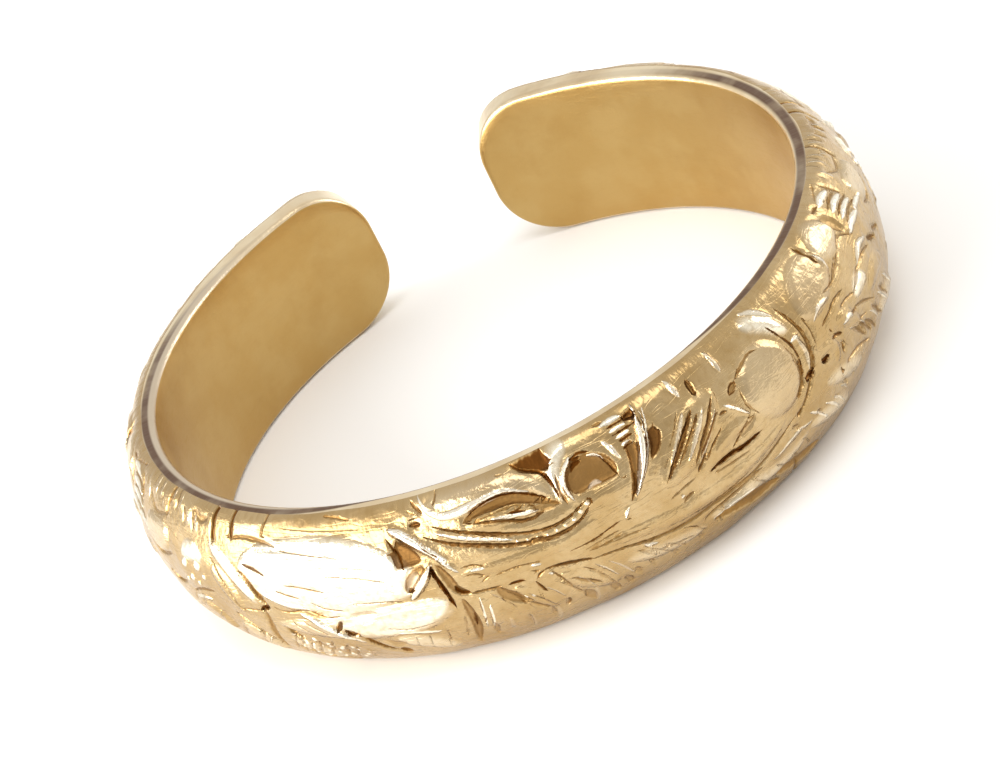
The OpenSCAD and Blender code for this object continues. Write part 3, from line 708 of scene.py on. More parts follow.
    hatches: tuple[Hatch, ...] = (
        # feathering of the leaves along the lower half
        Hatch((222.6, 1.34), (231.6, 1.14), (-3.2, -0.75), 7, 0.1, -0.05, 0.4),
        Hatch((204.5, 1.9), (215.5, 1.3), (-3.4, -0.6), 5, 0.1, -0.05, 0.35),
        Hatch((205.6, 1.92), (216.6, 1.32), (-3.2, -0.6), 3, 0.08, 0.05, 0.6),
        Hatch((242.5, 1.15), (249.2, 1.4), (-1.6, -0.75), 4, 0.08, -0.04, 0.25),
        Hatch((254.4, 1.74), (268.6, 1.5), (2.8, -0.8), 6, 0.08, -0.04, 0.28),
        Hatch((255.6, 1.72), (269.8, 1.48), (2.6, -0.75), 6, 0.07, 0.04, 0.5),
        Hatch((272.5, 1.3), (285, 1.1), (2.6, -0.45), 5, 0.08, -0.04, 0.28),
        Hatch((290, 1.14), (303, 0.98), (2.6, -0.5), 4, 0.08, -0.04, 0.3),
        Hatch((306, 2.6), (317.5, 1.85), (3.0, -0.5), 4, 0.07, -0.03, 0.3),
        Hatch((264.5, 0.92), (284.5, 0.8), (1.1, -0.55), 8, 0.26, -0.04, 0.42),
        Hatch((251.8, 1.0), (271, 0.9), (-0.7, -0.6), 6, 0.16, -0.035, 0.36),
        Hatch((254, 1.0), (268, 0.9), (-0.7, -0.55), 4, 0.12, 0.03, 0.15),
        Hatch((301, 1.42), (314.6, 1.15), (3.4, -0.5), 5, 0.22, -0.05, 0.42),
        Hatch((302.6, 1.4), (315.6, 1.12), (3.2, -0.5), 5, 0.1, 0.045, 0.7),
        Hatch((316.4, 1.9), (329, 1.6), (3.6, -0.6), 5, 0.11, -0.06, 0.55),
        Hatch((317.8, 1.92), (330.6, 1.62), (3.4, -0.6), 5, 0.1, 0.05, 0.8),
        # notches along the rim of the right side
        Hatch((338.4, 3.97), (353, 3.95), (0.9, -0.34), 9, 0.1, -0.06, 0.55),
        Hatch((339.2, 3.94), (353.8, 3.92), (0.9, -0.4), 9, 0.1, 0.05, 0.9),
        # barbs of the feather
        Hatch((281.6, 2.58), (286.6, 2.42), (4.0, 0.55), 5, 0.05, -0.04, 0.45),
    )
    nicks: tuple[Stroke, ...] = (
        # cuts that run on over the side edges
        Stroke(((212.3, 3.54), (212.5, 4.1)), 0.13, -0.07, 0.9, Taper.EVEN),
        Stroke(((216.5, 3.66), (216.5, 4.1)), 0.11, -0.06, 0.9, Taper.EVEN),
        Stroke(((222.8, 3.76), (223.6, 4.1)), 0.08, -0.04, 0.5, Taper.EVEN),
        Stroke(((346.5, 3.6), (346.8, 4.1)), 0.1, -0.05, 0.7, Taper.EVEN),
        Stroke(((228.0, -0.1), (228.2, 0.35)), 0.1, -0.05, 0.5, Taper.EVEN),
        Stroke(((301.0, -0.1), (300.6, 0.4)), 0.1, -0.05, 0.5, Taper.EVEN),
    )
    discs: tuple[Round, ...] = (Round(300.6, 2.74, 0.8, 0.07, 0.12),)
    pits: tuple[Round, ...] = (
        Round(238.4, 0.68, 0.16, -0.09, 0.85),
        Round(236.6, 2.32, 0.05, -0.03, 0.6),
    )
    # beads painted pale by their tone: painted highlights
    beads: tuple[Round, ...] = (
        Round(275.3, 1.36, 0.06, 0.04, 0.7),
        Round(282.0, 1.94, 0.06, 0.04, 0.8),
        Round(204.4, 2.8, 0.12, 0.05, 1.0),
        Round(207.7, 2.84, 0.13, 0.05, 1.0),
        Round(205.7, 2.5, 0.1, 0.04, 1.0),
        Round(208.9, 2.62, 0.08, 0.04, 0.9),
        Round(204.2, 2.4, 0.08, 0.04, 0.8),
        Round(207.1, 2.4, 0.07, 0.04, 0.8),
    )
    rope: Rope = Rope(
        ((260.6, 2.77), (263, 2.69), (265.6, 2.67), (268.4, 2.72), (270.7, 2.9)),
        count=9,
        radius=0.062,
        rise=0.05,
        thinning=0.25,
    )
    # grains painted pale by their tone: painted highlights
    grains: Grains = Grains(
        (222.6, 1.42), (1.05, -0.045), rows=4, columns=10, row_drop=0.17, radius=0.06, rise=0.045, tone=1.0
    )


@dataclass
class Drawn:
    """What the finish needs to draw the cuts or ridges crisply between the mesh's points.

    Each point keeps the form nearest to it: the distance to its line, its half width, its
    height, its tone, and how far inside its outline the point lies, in millimetres. Where
    nothing is drawn, the blank side lies well outside the blank half width.
    """

    count: int
    outside: float
    blank_half: float = 0.01
    side: np.ndarray = field(init=False)
    half: np.ndarray = field(init=False)
    rise: np.ndarray = field(init=False)
    tone: np.ndarray = field(init=False)
    inset: np.ndarray = field(init=False)

    def __post_init__(self) -> None:
        """Starts with nothing drawn."""
        self.side = np.full(self.count, self.blank_side)
        self.half = np.full(self.count, self.blank_half)
        self.rise = np.zeros(self.count)
        self.tone = np.zeros(self.count)
        self.inset = np.full(self.count, -self.outside)

    @property
    def blank_side(self) -> float:
        """The distance given where nothing is drawn."""
        return 2 * self.outside

    def take(self, picked: np.ndarray, found: dict[str, np.ndarray]) -> None:
        """Takes over a form at the points that lie further inside it than in any other.

        The form's sides are turned so that between two lines both have the same sign, or a
        third line would show there.

        Args:
            picked: Numbers of the points.
            found: The form's values at these points, by field.
        """
        old = self.inset[picked]
        new = found["inset"]
        between = (old > -self.outside) & (new > -self.outside) & (np.abs(old - new) < self.outside / 2)
        if (self.side[picked] * found["side"])[between].sum() < 0:
            found["side"] = -found["side"]
        nearer = new > old
        those = picked[nearer]
        for name, value in found.items():
            getattr(self, name)[those] = value[nearer]


@dataclass
class ReliefField:
    """Works out the pattern at many points of the dome together.

    The points are turn and height. Raised and cut are the heights that the mesh gets, in
    millimetres, and the rest is drawn by the finish. Wall and shoulder are the lengths over
    which a cut or ridge and a leaf reach their height. Outside is how far round a form its
    distance is still kept. A cut from hollow_width on is a hollow. Boldness widens cuts and
    ridges. Burnishing_highlight_reach is the length over which a leaf gets its full tone, its
    paleness of burnishing and painted highlight, from burnishing_highlight_start.
    Full_height and full_tone are how soon a tapering stroke has its whole height and tone.
    """

    sizes: BandSizes
    pattern: Pattern
    turn: np.ndarray
    height: np.ndarray
    raised: np.ndarray = field(init=False)
    cut: np.ndarray = field(init=False)
    drawn: dict[Kind, Drawn] = field(init=False)
    leaf_inset: np.ndarray = field(init=False)
    leaf_tone: np.ndarray = field(init=False)
    wall: float = 0.09
    shoulder: float = 0.18
    outside: float = 0.12
    hollow_width: float = 0.2
    boldness: float = 1.2
    burnishing_highlight_reach: float = 0.13
    burnishing_highlight_start: float = 0.15
    full_height: float = 2.2
    full_tone: float = 1.6
    least_half: float = 1e-3
    margin: float = 0.1

    def __post_init__(self) -> None:
        """Starts with the plain dome."""
        self.raised = np.zeros_like(self.turn)
        self.cut = np.zeros_like(self.turn)
        self.drawn = {kind: Drawn(self.turn.size, self.outside) for kind in DRAWN_KINDS}
        self.leaf_inset = np.full_like(self.turn, -self.outside)
        self.leaf_tone = np.zeros_like(self.turn)

    def _repeats(self, low: float, high: float) -> list[float]:
        """Lists the shifts in turn that bring a form onto the points.

        Args:
            low: The form's lowest turn.
            high: The form's highest turn.

        Returns:
            The shifts, each a whole number of repeats.
        """
        step = self.pattern.repeat_turn
        first = math.ceil((self.turn.min() - high) / step)
        last = math.floor((self.turn.max() - low) / step)
        return [k * step for k in range(first, last + 1)]

    def _keep(
        self,
        picked: np.ndarray,
        form: Stroke | Round,
        kind: Kind,
        off: np.ndarray,
        reach: np.ndarray,
        share: np.ndarray,
    ) -> None:
        """Adds one form to the mesh's heights and to what the finish draws.

        Args:
            picked: Numbers of the points near the form.
            form: The form.
            kind: What it does to the dome.
            off: Distance of each point from the form's line or middle, signed.
            reach: Half the form's width beside each point.
            share: Share of the form's full height beside each point.
        """
        inset = reach - np.abs(off)
        if kind is Kind.LEAF:
            lift = eased(np.clip(inset / self.shoulder, 0, 1))
            self.raised[picked] = np.maximum(self.raised[picked], form.rise * share * lift)
            self.leaf_inset[picked] = np.maximum(self.leaf_inset[picked], inset)
            # how pale the leaf is painted: burnishing with a painted highlight
            tone = form.tone * np.clip(self.burnishing_highlight_start + inset / self.burnishing_highlight_reach, 0, 1)
            self.leaf_tone[picked] = np.maximum(self.leaf_tone[picked], tone)
            return
        wide = np.maximum(reach, self.wall)
        edge = eased(np.clip((wide - np.abs(off)) / self.wall, 0, 1))
        part = form.rise * share * edge * np.minimum(1, reach / self.wall)
        if kind is Kind.RIDGE:
            self.raised[picked] += part
        else:
            self.cut[picked] = np.maximum(self.cut[picked], -part)
        found = {
            "side": off,
            "half": np.maximum(reach, self.least_half),
            "rise": np.abs(form.rise) * share,
            "tone": np.full(len(off), form.tone) * np.minimum(1, self.full_tone * share),
            "inset": inset,
        }
        self.drawn[kind].take(picked, found)

    def press(self, form: Round, kind: Kind) -> None:
        """Adds a round form at each repeat.

        Args:
            form: The boss or pit.
            kind: What it does to the dome.
        """
        reach = (form.radius + self.outside) / self.sizes.turn_len
        for shift in self._repeats(form.turn - reach, form.turn + reach):
            across = (self.turn - form.turn - shift) * self.sizes.turn_len
            away = np.hypot(across, self.height - form.height)
            picked = np.flatnonzero(away < form.radius + self.outside)
            if picked.size:
                far = away[picked]
                self._keep(picked, form, kind, far, np.full(len(far), form.radius), np.ones(len(far)))

    def draw(self, stroke: Stroke, kind: Kind) -> None:
        """Adds a stroke at each repeat.

        Args:
            stroke: The raised leaf or ridge, or the cut.
            kind: What it does to the dome.
        """
        turn_len = self.sizes.turn_len
        line = smooth_path(stroke.path, turn_len)
        bold = 1.0 if kind is Kind.LEAF else self.boldness
        far = stroke.width / 2 + self.outside
        low, high = line.min(0) - far, line.max(0) + far
        for shift in self._repeats(low[0] / turn_len, high[0] / turn_len):
            x = (self.turn - shift) * turn_len
            inside = (x > low[0]) & (x < high[0]) & (self.height > low[1]) & (self.height < high[1])
            picked = np.flatnonzero(inside)
            off, along = self._beside(line, np.stack([x[picked], self.height[picked]], 1))
            near = np.abs(off) < far
            if near.any():
                swell = stroke.taper.width_at(along[near])
                share = np.minimum(1, self.full_height * swell)
                self._keep(picked[near], stroke, kind, off[near], bold * stroke.width / 2 * swell, share)

    @staticmethod
    def _beside(line: np.ndarray, points: np.ndarray) -> tuple[np.ndarray, np.ndarray]:
        """Finds where points lie beside a line.

        Args:
            line: The line's own points in millimetres, laid flat.
            points: The points to place.

        Returns:
            The distance of each point from the line, above zero to its left, and the share
            of the line's length that lies before the point.
        """
        lengths = np.hypot(*np.diff(line, axis=0).T)
        run = np.concatenate([[0], np.cumsum(lengths)])
        best = np.full(len(points), np.inf)
        side = np.ones(len(points))
        along = np.zeros(len(points))
        for a, b, size, start in zip(line, line[1:], lengths, run):
            way = (b - a) / size
            t = np.clip((points - a) @ way, 0, size)
            off = points - a - t[:, None] * way
            gap = np.hypot(off[:, 0], off[:, 1])
            nearer = gap < best
            best[nearer] = gap[nearer]
            side[nearer] = np.where(way[0] * off[nearer, 1] < way[1] * off[nearer, 0], -1, 1)
            along[nearer] = (start + t[nearer]) / run[-1]
        return best * side, along

    def work_out(self, depth: np.ndarray) -> None:
        """Works out the whole pattern, which fades out along the band's outline.

        Args:
            depth: How far each point lies inside the band's outline.
        """
        pattern = self.pattern
        ridges, cuts = list(pattern.ridges), list(pattern.cuts)
        for hatch in pattern.hatches:
            (ridges if hatch.rise > 0 else cuts).extend(hatch.strokes())
        strokes = {
            Kind.LEAF: pattern.leaves,
            Kind.RIDGE: ridges,
            Kind.HOLLOW: [stroke for stroke in cuts if stroke.width >= self.hollow_width],
            Kind.CUT: [stroke for stroke in cuts if stroke.width < self.hollow_width],
        }
        for kind, group in strokes.items():
            for stroke in group:
                self.draw(stroke, kind)
        rope = pattern.rope.beads(self.sizes.turn_len)
        bosses = (*pattern.beads, *rope, *pattern.grains.bosses())
        for kind, group in ((Kind.LEAF, pattern.discs), (Kind.HOLLOW, pattern.pits), (Kind.RIDGE, bosses)):
            for form in group:
                self.press(form, kind)
        fade = np.clip(depth / self.margin, 0, 1)
        self.raised *= fade
        self.cut *= fade
        for stroke in pattern.nicks:
            self.draw(stroke, Kind.CUT)


class Tree:
    """Adds and joins nodes in one node tree."""

    def __init__(self, tree: bpy.types.NodeTree) -> None:
        """Keeps the node tree of a material, group or world."""
        self.tree = tree

    def join(self, start: Socket, end: Socket) -> None:
        """Links the socket that gives a value to the one that takes it."""
        self.tree.links.new(start, end)

    def add(self, kind: str, inputs: dict | None = None, **settings: object) -> bpy.types.Node:
        """Adds a node.

        Args:
            kind: The node's type name.
            inputs: Values or sockets by input name or number.
            settings: The node's own properties.

        Returns:
            The new node.
        """
        node = self.tree.nodes.new(kind)
        for name, value in settings.items():
            setattr(node, name, value)
        for key, value in (inputs or {}).items():
            if isinstance(value, Socket):
                self.join(value, node.inputs[key])
            else:
                node.inputs[key].default_value = value
        return node

    def mix(self, factor: object, low: object, high: object) -> Socket:
        """Mixes two colours, each three numbers or a socket, by the share of the second."""
        low, high = (each if isinstance(each, Socket) else (*each, 1) for each in (low, high))
        return self.add("ShaderNodeMix", {0: factor, 6: low, 7: high}, data_type="RGBA").outputs[2]

    def math(self, operation: str, a: object, b: object = 0.0, c: object = 0.0) -> Socket:
        """Works out a number from up to three numbers or sockets."""
        return self.add("ShaderNodeMath", {0: a, 1: b, 2: c}, operation=operation).outputs[0]

    def ranged(self, value: object, span: Span, result: Span = (0.0, 1.0)) -> Socket:
        """Maps a number smoothly from its span to the start and end of the result."""
        inputs = {0: value, 1: span[0], 2: span[1], 3: result[0], 4: result[1]}
        return self.add("ShaderNodeMapRange", inputs, interpolation_type="SMOOTHSTEP").outputs[0]

    def noise(self, place: Socket, scale: object, detail: float, **more: float) -> Socket:
        """Adds a cloudy noise, about 0 to 1, with so many clouds for each unit of the place."""
        inputs = {"Vector": place, "Scale": scale, "Detail": detail, **more}
        return self.add("ShaderNodeTexNoise", inputs).outputs["Fac"]

    def kept(self, name: str, output: str = "Fac") -> Socket:
        """Reads what the mesh keeps for each vertex: a number as Fac, or three as Vector."""
        return self.add("ShaderNodeAttribute", attribute_name=name).outputs[output]


def open_group(
    name: str, inputs: dict[str, float | None], outputs: tuple[str, ...]
) -> tuple[Tree, bpy.types.NodeOutputs, bpy.types.NodeInputs]:
    """Starts a shader node group with named sockets.

    Args:
        name: The group's name.
        inputs: First value of each number that goes in, by name, or None for a vector.
        outputs: Name of each number that comes out.

    Returns:
        The group's tree, the sockets of what goes in and the sockets of what comes out.
    """
    group = bpy.data.node_groups.new(name, "ShaderNodeTree")
    for label, value in inputs.items():
        kind = "NodeSocketVector" if value is None else "NodeSocketFloat"
        socket = group.interface.new_socket(name=label, in_out="INPUT", socket_type=kind)
        if value is not None:
            socket.default_value = value
    for label in outputs:
        group.interface.new_socket(name=label, in_out="OUTPUT", socket_type="NodeSocketFloat")
    tree = Tree(group)
    return tree, tree.add("NodeGroupInput").outputs, tree.add("NodeGroupOutput").inputs


class SharedEffects:
    """The node groups that the finishes of the band share.

    A stroke fades in over the outline, in millimetres inside its edge, and its tone comes
    in over toned, a share of its height. Scratches are as wide and deep as named, in shares
    of the noise that they are drawn from. Tarnish comes in over clouded, in the same way.
    """

    outline: Span = (-0.06, -0.03)
    toned: Span = (0.05, 0.65)
    scratch_width: float = 0.04
    scratch_depth: float = 0.3
    grain_scale: float = 13.0
    clouded: Span = (0.42, 0.68)

    def __init__(self) -> None:
        """Builds each group once."""
        self.wear = self._wear()
        self.dents = self._dents()
        self.tarnish = self._tarnish()
        self.strokes = self._strokes()

    def _strokes(self) -> bpy.types.NodeTree:
        """Draws crisp strokes of the pattern, from each point's distance to the nearest one.

        Returns:
            The node group.
        """
        inputs = {"Line": None, "Tone": 0.0, "Inset": -0.12, "Wall": 0.06, "Unevenness": 0.0}
        tree, given, result = open_group("crisp strokes", inputs, ("Height", "Mask"))
        side, half, rise = tree.add("ShaderNodeSeparateXYZ", {0: given["Line"]}).outputs
        away = tree.math("SUBTRACT", half, tree.math("ABSOLUTE", side))
        away = tree.math("ADD", away, given["Unevenness"])
        wall = tree.math("MINIMUM", half, given["Wall"])
        share = tree.math("MINIMUM", tree.math("MAXIMUM", tree.math("DIVIDE", away, wall), 0.0), 1.0)
        share = tree.math("MULTIPLY", share, tree.ranged(given["Inset"], self.outline))
        tree.join(tree.math("MULTIPLY", share, rise), result["Height"])
        tree.join(tree.math("MULTIPLY", tree.ranged(share, self.toned), given["Tone"]), result["Mask"])
        return tree.tree

    def _wear(self) -> bpy.types.NodeTree:
        """Draws fine grain and scratches of handling, longer along the band than across it.

        Returns:
            The node group.
        """
        inputs = {"Vector": None, "Density": 6.0, "Stretch": 0.16}
        tree, given, result = open_group("handling scratches", inputs, ("Height", "Mask"))
        stretch = tree.add("ShaderNodeCombineXYZ", {0: given["Stretch"], 1: 1.0, 2: 1.0}).outputs[0]
        place = {0: given["Vector"], 1: stretch}
        place = tree.add("ShaderNodeVectorMath", place, operation="MULTIPLY").outputs[0]
        lines = tree.noise(place, given["Density"], detail=2.0, Roughness=0.6, Distortion=0.6)
        ridge = tree.math("ABSOLUTE", tree.math("SUBTRACT", lines, 0.5))
        mask = tree.ranged(ridge, (0.0, self.scratch_width), (1.0, 0.0))
        grain = tree.noise(given["Vector"], self.grain_scale, detail=1.0)
        tree.join(tree.math("MULTIPLY_ADD", mask, -self.scratch_depth, grain), result["Height"])
        tree.join(mask, result["Mask"])
        return tree.tree

    def _dents(self) -> bpy.types.NodeTree:
        """Draws the soft unevenness that hand work leaves in polished metal.

        Returns:
            The node group.
        """
        tree, given, result = open_group("soft dents", {"Vector": None, "Scale": 1.5}, ("Height",))
        tree.join(tree.noise(given["Vector"], given["Scale"], detail=2.0), result["Height"])
        return tree.tree

    def _tarnish(self) -> bpy.types.NodeTree:
        """Draws cloudy patches of thin tarnish.

        Returns:
            The node group.
        """
        inputs = {"Vector": None, "Scale": 0.5, "Spread": 0.5}
        tree, given, result = open_group("thin tarnish", inputs, ("Mask",))
        cloud = tree.noise(given["Vector"], given["Scale"], detail=4.0, Roughness=0.6)
        shifted = tree.math("ADD", cloud, tree.math("SUBTRACT", given["Spread"], 0.5))
        tree.join(tree.ranged(shifted, self.clouded), result["Mask"])
        return tree.tree


@dataclass(frozen=True)
class CutTones:
    """What the pattern's cuts, ridges and leaves add to the gold.

    The first four are the colours of a cut's wall and of its dark bottom, which paint patina
    together with the shade that falls in a cut, of a ridge painted pale with wear and a
    painted highlight, and of a leaf painted pale with burnishing and a painted highlight.
    Then come the shares of a stroke's height that the material adds, and the step at a
    leaf's edge, in millimetres. The grit is a noise that makes outlines ragged by so many
    millimetres, mottles the gold and leaves the burnishing and painted highlight of the
    leaves patchy.
    """

    # patina and painted shade of the cuts, then the pale paint of ridges and leaves: wear, burnishing and
    # painted highlights
    wall: Colour = (0.31, 0.165, 0.045)
    crease_patina_and_shade: Colour = (0.12, 0.037, 0.004)
    wear_and_painted_light: Colour = (1.0, 0.93, 0.78)
    burnishing_and_highlight: Colour = (0.98, 0.9, 0.72)
    crisp_depth: float = 0.6
    crisp_rise: float = 0.5
    hollow_share: float = 0.38
    leaf_step: float = 0.01
    leaf_edge: Span = (-0.01, 0.06)
    grit_scale: float = 7.0
    ragged: float = 0.05
    ragged_from: float = -0.027
    mottled: Span = (0.42, 0.72)
    mottling: float = 0.32
    patchy: Span = (0.3, 0.6)
    patchy_least: float = 0.6
    wear_and_painted_light_share: float = 0.9
    walled: Span = (0.0, 0.75)
    wall_share: float = 0.85
    creased: Span = (0.6, 1.05)
    dark_rough: float = 0.15
    hollow_rough: float = 0.22
    ridge_rough: float = -0.08

    def paint_patina_and_shade(self, tree: Tree, mask: Socket, gold: Socket) -> Socket:
        """Paints patina and the shade in a cut: turns the gold brown by the mask, and darker still where the
        mask is full.
        """
        gold = tree.mix(tree.ranged(mask, self.walled, (0.0, self.wall_share)), gold, self.wall)
        return tree.mix(tree.ranged(mask, self.creased), gold, self.crease_patina_and_shade)


@dataclass(frozen=True)
class PaintedEdgeShade:
    """The dark line painted along the side edge, painted shade of the side face, with a pale painted
    reflection just inside it on the left side: where it runs and how wide it is.

    Each place and half width has three values in millimetres out from the toe hole: on the
    left side, at the front and on the right side. The left, right and back spans are where
    the line changes over, in millimetres on the object.
    """

    places: tuple[float, float, float] = (0.25, 0.06, 0.20)
    halves: tuple[float, float, float] = (0.09, 0.05, 0.12)
    # painted shade of the line, and the pale painted reflection inside it on the left side
    colour: Colour = (0.16, 0.092, 0.055)
    inner: Colour = (0.6, 0.5, 0.38)
    inside_r: float = BandSizes.inside_r
    left_span: Span = (-6.2, -3.2)
    right_span: Span = (2.5, 5.5)
    back_span: Span = (3.0, 5.6)
    back_share: float = 0.15
    patch_scale: float = 1.1
    patch_span: Span = (0.3, 0.55)
    wear_and_painted_light_share: float = 0.7
    soft_span: Span = (0.6, 1.3)
    inner_span: Span = (-0.03, 0.03)
    inner_share: float = 0.8

    def draw(self, tree: Tree, solid: Socket, gold: Socket) -> Socket:
        """Paints the line of shade, and the pale reflection inside it, into the metal's colour.

        Args:
            tree: The material's nodes.
            solid: The place on the object, in millimetres.
            gold: The metal's colour.

        Returns:
            The colour with the line in it.
        """
        flat = tree.add("ShaderNodeVectorMath", {0: solid, 1: (1, 1, 0)}, operation="MULTIPLY").outputs[0]
        length = tree.add("ShaderNodeVectorMath", {0: flat}, operation="LENGTH").outputs["Value"]
        out = tree.math("SUBTRACT", length, self.inside_r)
        spot = tree.add("ShaderNodeSeparateXYZ", {0: solid}).outputs
        left = tree.ranged(spot[0], self.left_span, (1.0, 0.0))
        right = tree.ranged(spot[0], self.right_span)
        place, half = (self._by_side(tree, left, right, values) for values in (self.places, self.halves))
        past = tree.math("SUBTRACT", out, place)
        away = tree.math("DIVIDE", tree.math("ABSOLUTE", past), half)
        # the painted shade is patchy by a noise, and fades towards the back
        cloud = tree.noise(solid, self.patch_scale, detail=3.0)
        wear_and_painted_light = tree.ranged(cloud, self.patch_span, (self.wear_and_painted_light_share, 1.0))
        wear_and_painted_light = tree.math("MULTIPLY", wear_and_painted_light, tree.ranged(spot[1], self.back_span, (1.0, self.back_share)))
        strength = tree.math("MULTIPLY", tree.ranged(away, self.soft_span, (1.0, 0.0)), wear_and_painted_light)
        painted_reflection_band = tree.math("MULTIPLY", left, tree.ranged(past, self.inner_span, (self.inner_share, 0.0)))
        return tree.mix(strength, tree.mix(painted_reflection_band, gold, self.inner), self.colour)

    @staticmethod
    def _by_side(tree: Tree, left: Socket, right: Socket, values: tuple[float, float, float]) -> Socket:
        """Blends the values of the left side, the front and the right side."""
        found = tree.math("MULTIPLY_ADD", left, values[0] - values[1], values[1])
        return tree.math("MULTIPLY_ADD", right, values[2] - values[1], found)


@dataclass(frozen=True)
class GoldFinish:
    """One finish of the gold-coloured metal, from its node inputs to the material.

    Depths are millimetres, and sizes of a pattern are a number for each millimetre. The
    gold is clouded between its colour and its pale colour, and tarnished towards its dark.
    """

    name: str
    colour: Colour
    pale: Colour
    dark: Colour
    roughness: float
    rough_spread: float
    grain_depth: float
    scratch_density: float
    dent_depth: float
    dent_scale: float
    tarnish_spread: float
    tarnish_share: float = 0.5
    cloud_scale: float = 0.8
    cloud_span: Span = (0.35, 0.65)
    scratch_rough: float = 0.06
    # paints shade along the side edge, with a pale painted reflection inside it
    line: PaintedEdgeShade | None = None
    tones: CutTones | None = None

    def make(self, effects: SharedEffects) -> bpy.types.Material:
        """Builds the material.

        Args:
            effects: The shared node groups.

        Returns:
            The finished material.
        """
        material = bpy.data.materials.new(self.name)
        material.use_nodes = True
        tree = Tree(material.node_tree)
        tree.tree.nodes.clear()
        flat = tree.add("ShaderNodeUVMap", uv_map="band_flat").outputs[0]
        place = tree.add("ShaderNodeTexCoord").outputs["Object"]
        solid = tree.add("ShaderNodeMapping", {"Vector": place, "Scale": (1 / MM, 1 / MM, 1 / MM)}).outputs[0]
        wear, dents, tarnish = (
            tree.add("ShaderNodeGroup", inputs, node_tree=group).outputs
            for group, inputs in (
                (effects.wear, {"Vector": flat, "Density": self.scratch_density}),
                (effects.dents, {"Vector": solid, "Scale": self.dent_scale}),
                (effects.tarnish, {"Vector": solid, "Spread": self.tarnish_spread}),
            )
        )
        cloud = tree.noise(solid, self.cloud_scale, detail=3.0)
        gold = tree.mix(tree.ranged(cloud, self.cloud_span), self.colour, self.pale)
        gold = tree.mix(tree.math("MULTIPLY", tarnish["Mask"], self.tarnish_share), gold, self.dark)
        rough = tree.math("MULTIPLY_ADD", cloud, self.rough_spread, self.roughness - self.rough_spread / 2)
        rough = tree.math("MULTIPLY_ADD", wear["Mask"], self.scratch_rough, rough)
        height = tree.math("MULTIPLY", dents["Height"], self.dent_depth)
        height = tree.math("MULTIPLY_ADD", wear["Height"], self.grain_depth, height)
        # paints the shade line of the side edge into the colour
        if self.line is not None:
            gold = self.line.draw(tree, solid, gold)
        if self.tones is not None:
            gold, rough, height = self._engrave(tree, effects, flat, (gold, rough, height))
        bump = tree.add("ShaderNodeBump", {"Height": height, "Strength": 1.0, "Distance": MM}).outputs[0]
        metal = {"Metallic": 1.0, "Base Color": gold, "Roughness": rough, "Normal": bump}
        shader = tree.add("ShaderNodeBsdfPrincipled", metal)
        tree.add("ShaderNodeOutputMaterial", {"Surface": shader.outputs[0]})
        return material

    def _engrave(
        self, tree: Tree, effects: SharedEffects, flat: Socket, metal: tuple[Socket, Socket, Socket]
    ) -> tuple[Socket, Socket, Socket]:
        """Adds the pattern to the finish: cuts painted with patina and painted shade, and ridges and leaves
        painted pale with wear, burnishing and painted highlights.

        Args:
            tree: The material's nodes.
            effects: The shared node groups.
            flat: The place on the band laid flat, in millimetres.
            metal: The metal's colour, roughness and height in millimetres.

        Returns:
            The colour, roughness and height with the pattern in them.
        """
        gold, rough, height = metal
        tones = self.tones
        grit = tree.noise(flat, tones.grit_scale, detail=2.0)
        uneven = tree.math("MULTIPLY_ADD", grit, tones.ragged, tones.ragged_from)
        drawn = []
        for kind in DRAWN_KINDS:
            inputs = {
                "Line": tree.kept(f"{kind.value}_line", "Vector"),
                "Tone": tree.kept(f"{kind.value}_tone"),
                "Inset": tree.kept(f"{kind.value}_inset"),
                "Unevenness": uneven,
            }
            drawn.append(tree.add("ShaderNodeGroup", inputs, node_tree=effects.strokes).outputs)
        cut, hollow, ridge = drawn
        step = tree.ranged(tree.kept("leaf_inset"), tones.leaf_edge, (0.0, tones.leaf_step))
        height = tree.math("ADD", height, step)
        height = tree.math("MULTIPLY_ADD", ridge["Height"], tones.crisp_rise, height)
        deep = tree.math("MULTIPLY_ADD", hollow["Height"], tones.hollow_share, cut["Height"])
        height = tree.math("MULTIPLY_ADD", deep, -tones.crisp_depth, height)
        gold = tree.mix(tree.ranged(grit, tones.mottled, (0.0, tones.mottling)), gold, self.dark)
        # leaves painted pale: burnishing with a painted highlight, patchy by the grit
        patchy = tree.ranged(grit, tones.patchy, (tones.patchy_least, 1.0))
        gold = tree.mix(tree.math("MULTIPLY", tree.kept("leaf_tone"), patchy), gold, tones.burnishing_and_highlight)
        # ridges painted pale: wear with a painted highlight
        wear_and_painted_light = tree.math("MULTIPLY", ridge["Mask"], tones.wear_and_painted_light_share)
        # cuts and hollows painted brown: patina with painted shade
        gold = tones.paint_patina_and_shade(tree, hollow["Mask"], gold)
        gold = tree.mix(wear_and_painted_light, gold, tones.wear_and_painted_light)
        gold = tones.paint_patina_and_shade(tree, cut["Mask"], gold)
        dark = tree.math("MAXIMUM", cut["Mask"], hollow["Mask"])
        rough = tree.math("MULTIPLY_ADD", dark, tones.dark_rough, rough)
        rough = tree.math("MULTIPLY_ADD", hollow["Mask"], tones.hollow_rough, rough)
        rough = tree.math("MULTIPLY_ADD", wear_and_painted_light, tones.ridge_rough, rough)
        return gold, rough, height


POLISHED = GoldFinish(
    name="polished patterned gold",
    colour=(0.475, 0.325, 0.15),
    pale=(0.55, 0.4, 0.21),
    dark=(0.38, 0.235, 0.085),
    roughness=0.24,
    rough_spread=0.08,
    grain_depth=0.008,
    scratch_density=4.0,
    dent_depth=0.06,
    dent_scale=1.5,
    tarnish_spread=0.45,
    tones=CutTones(),
)
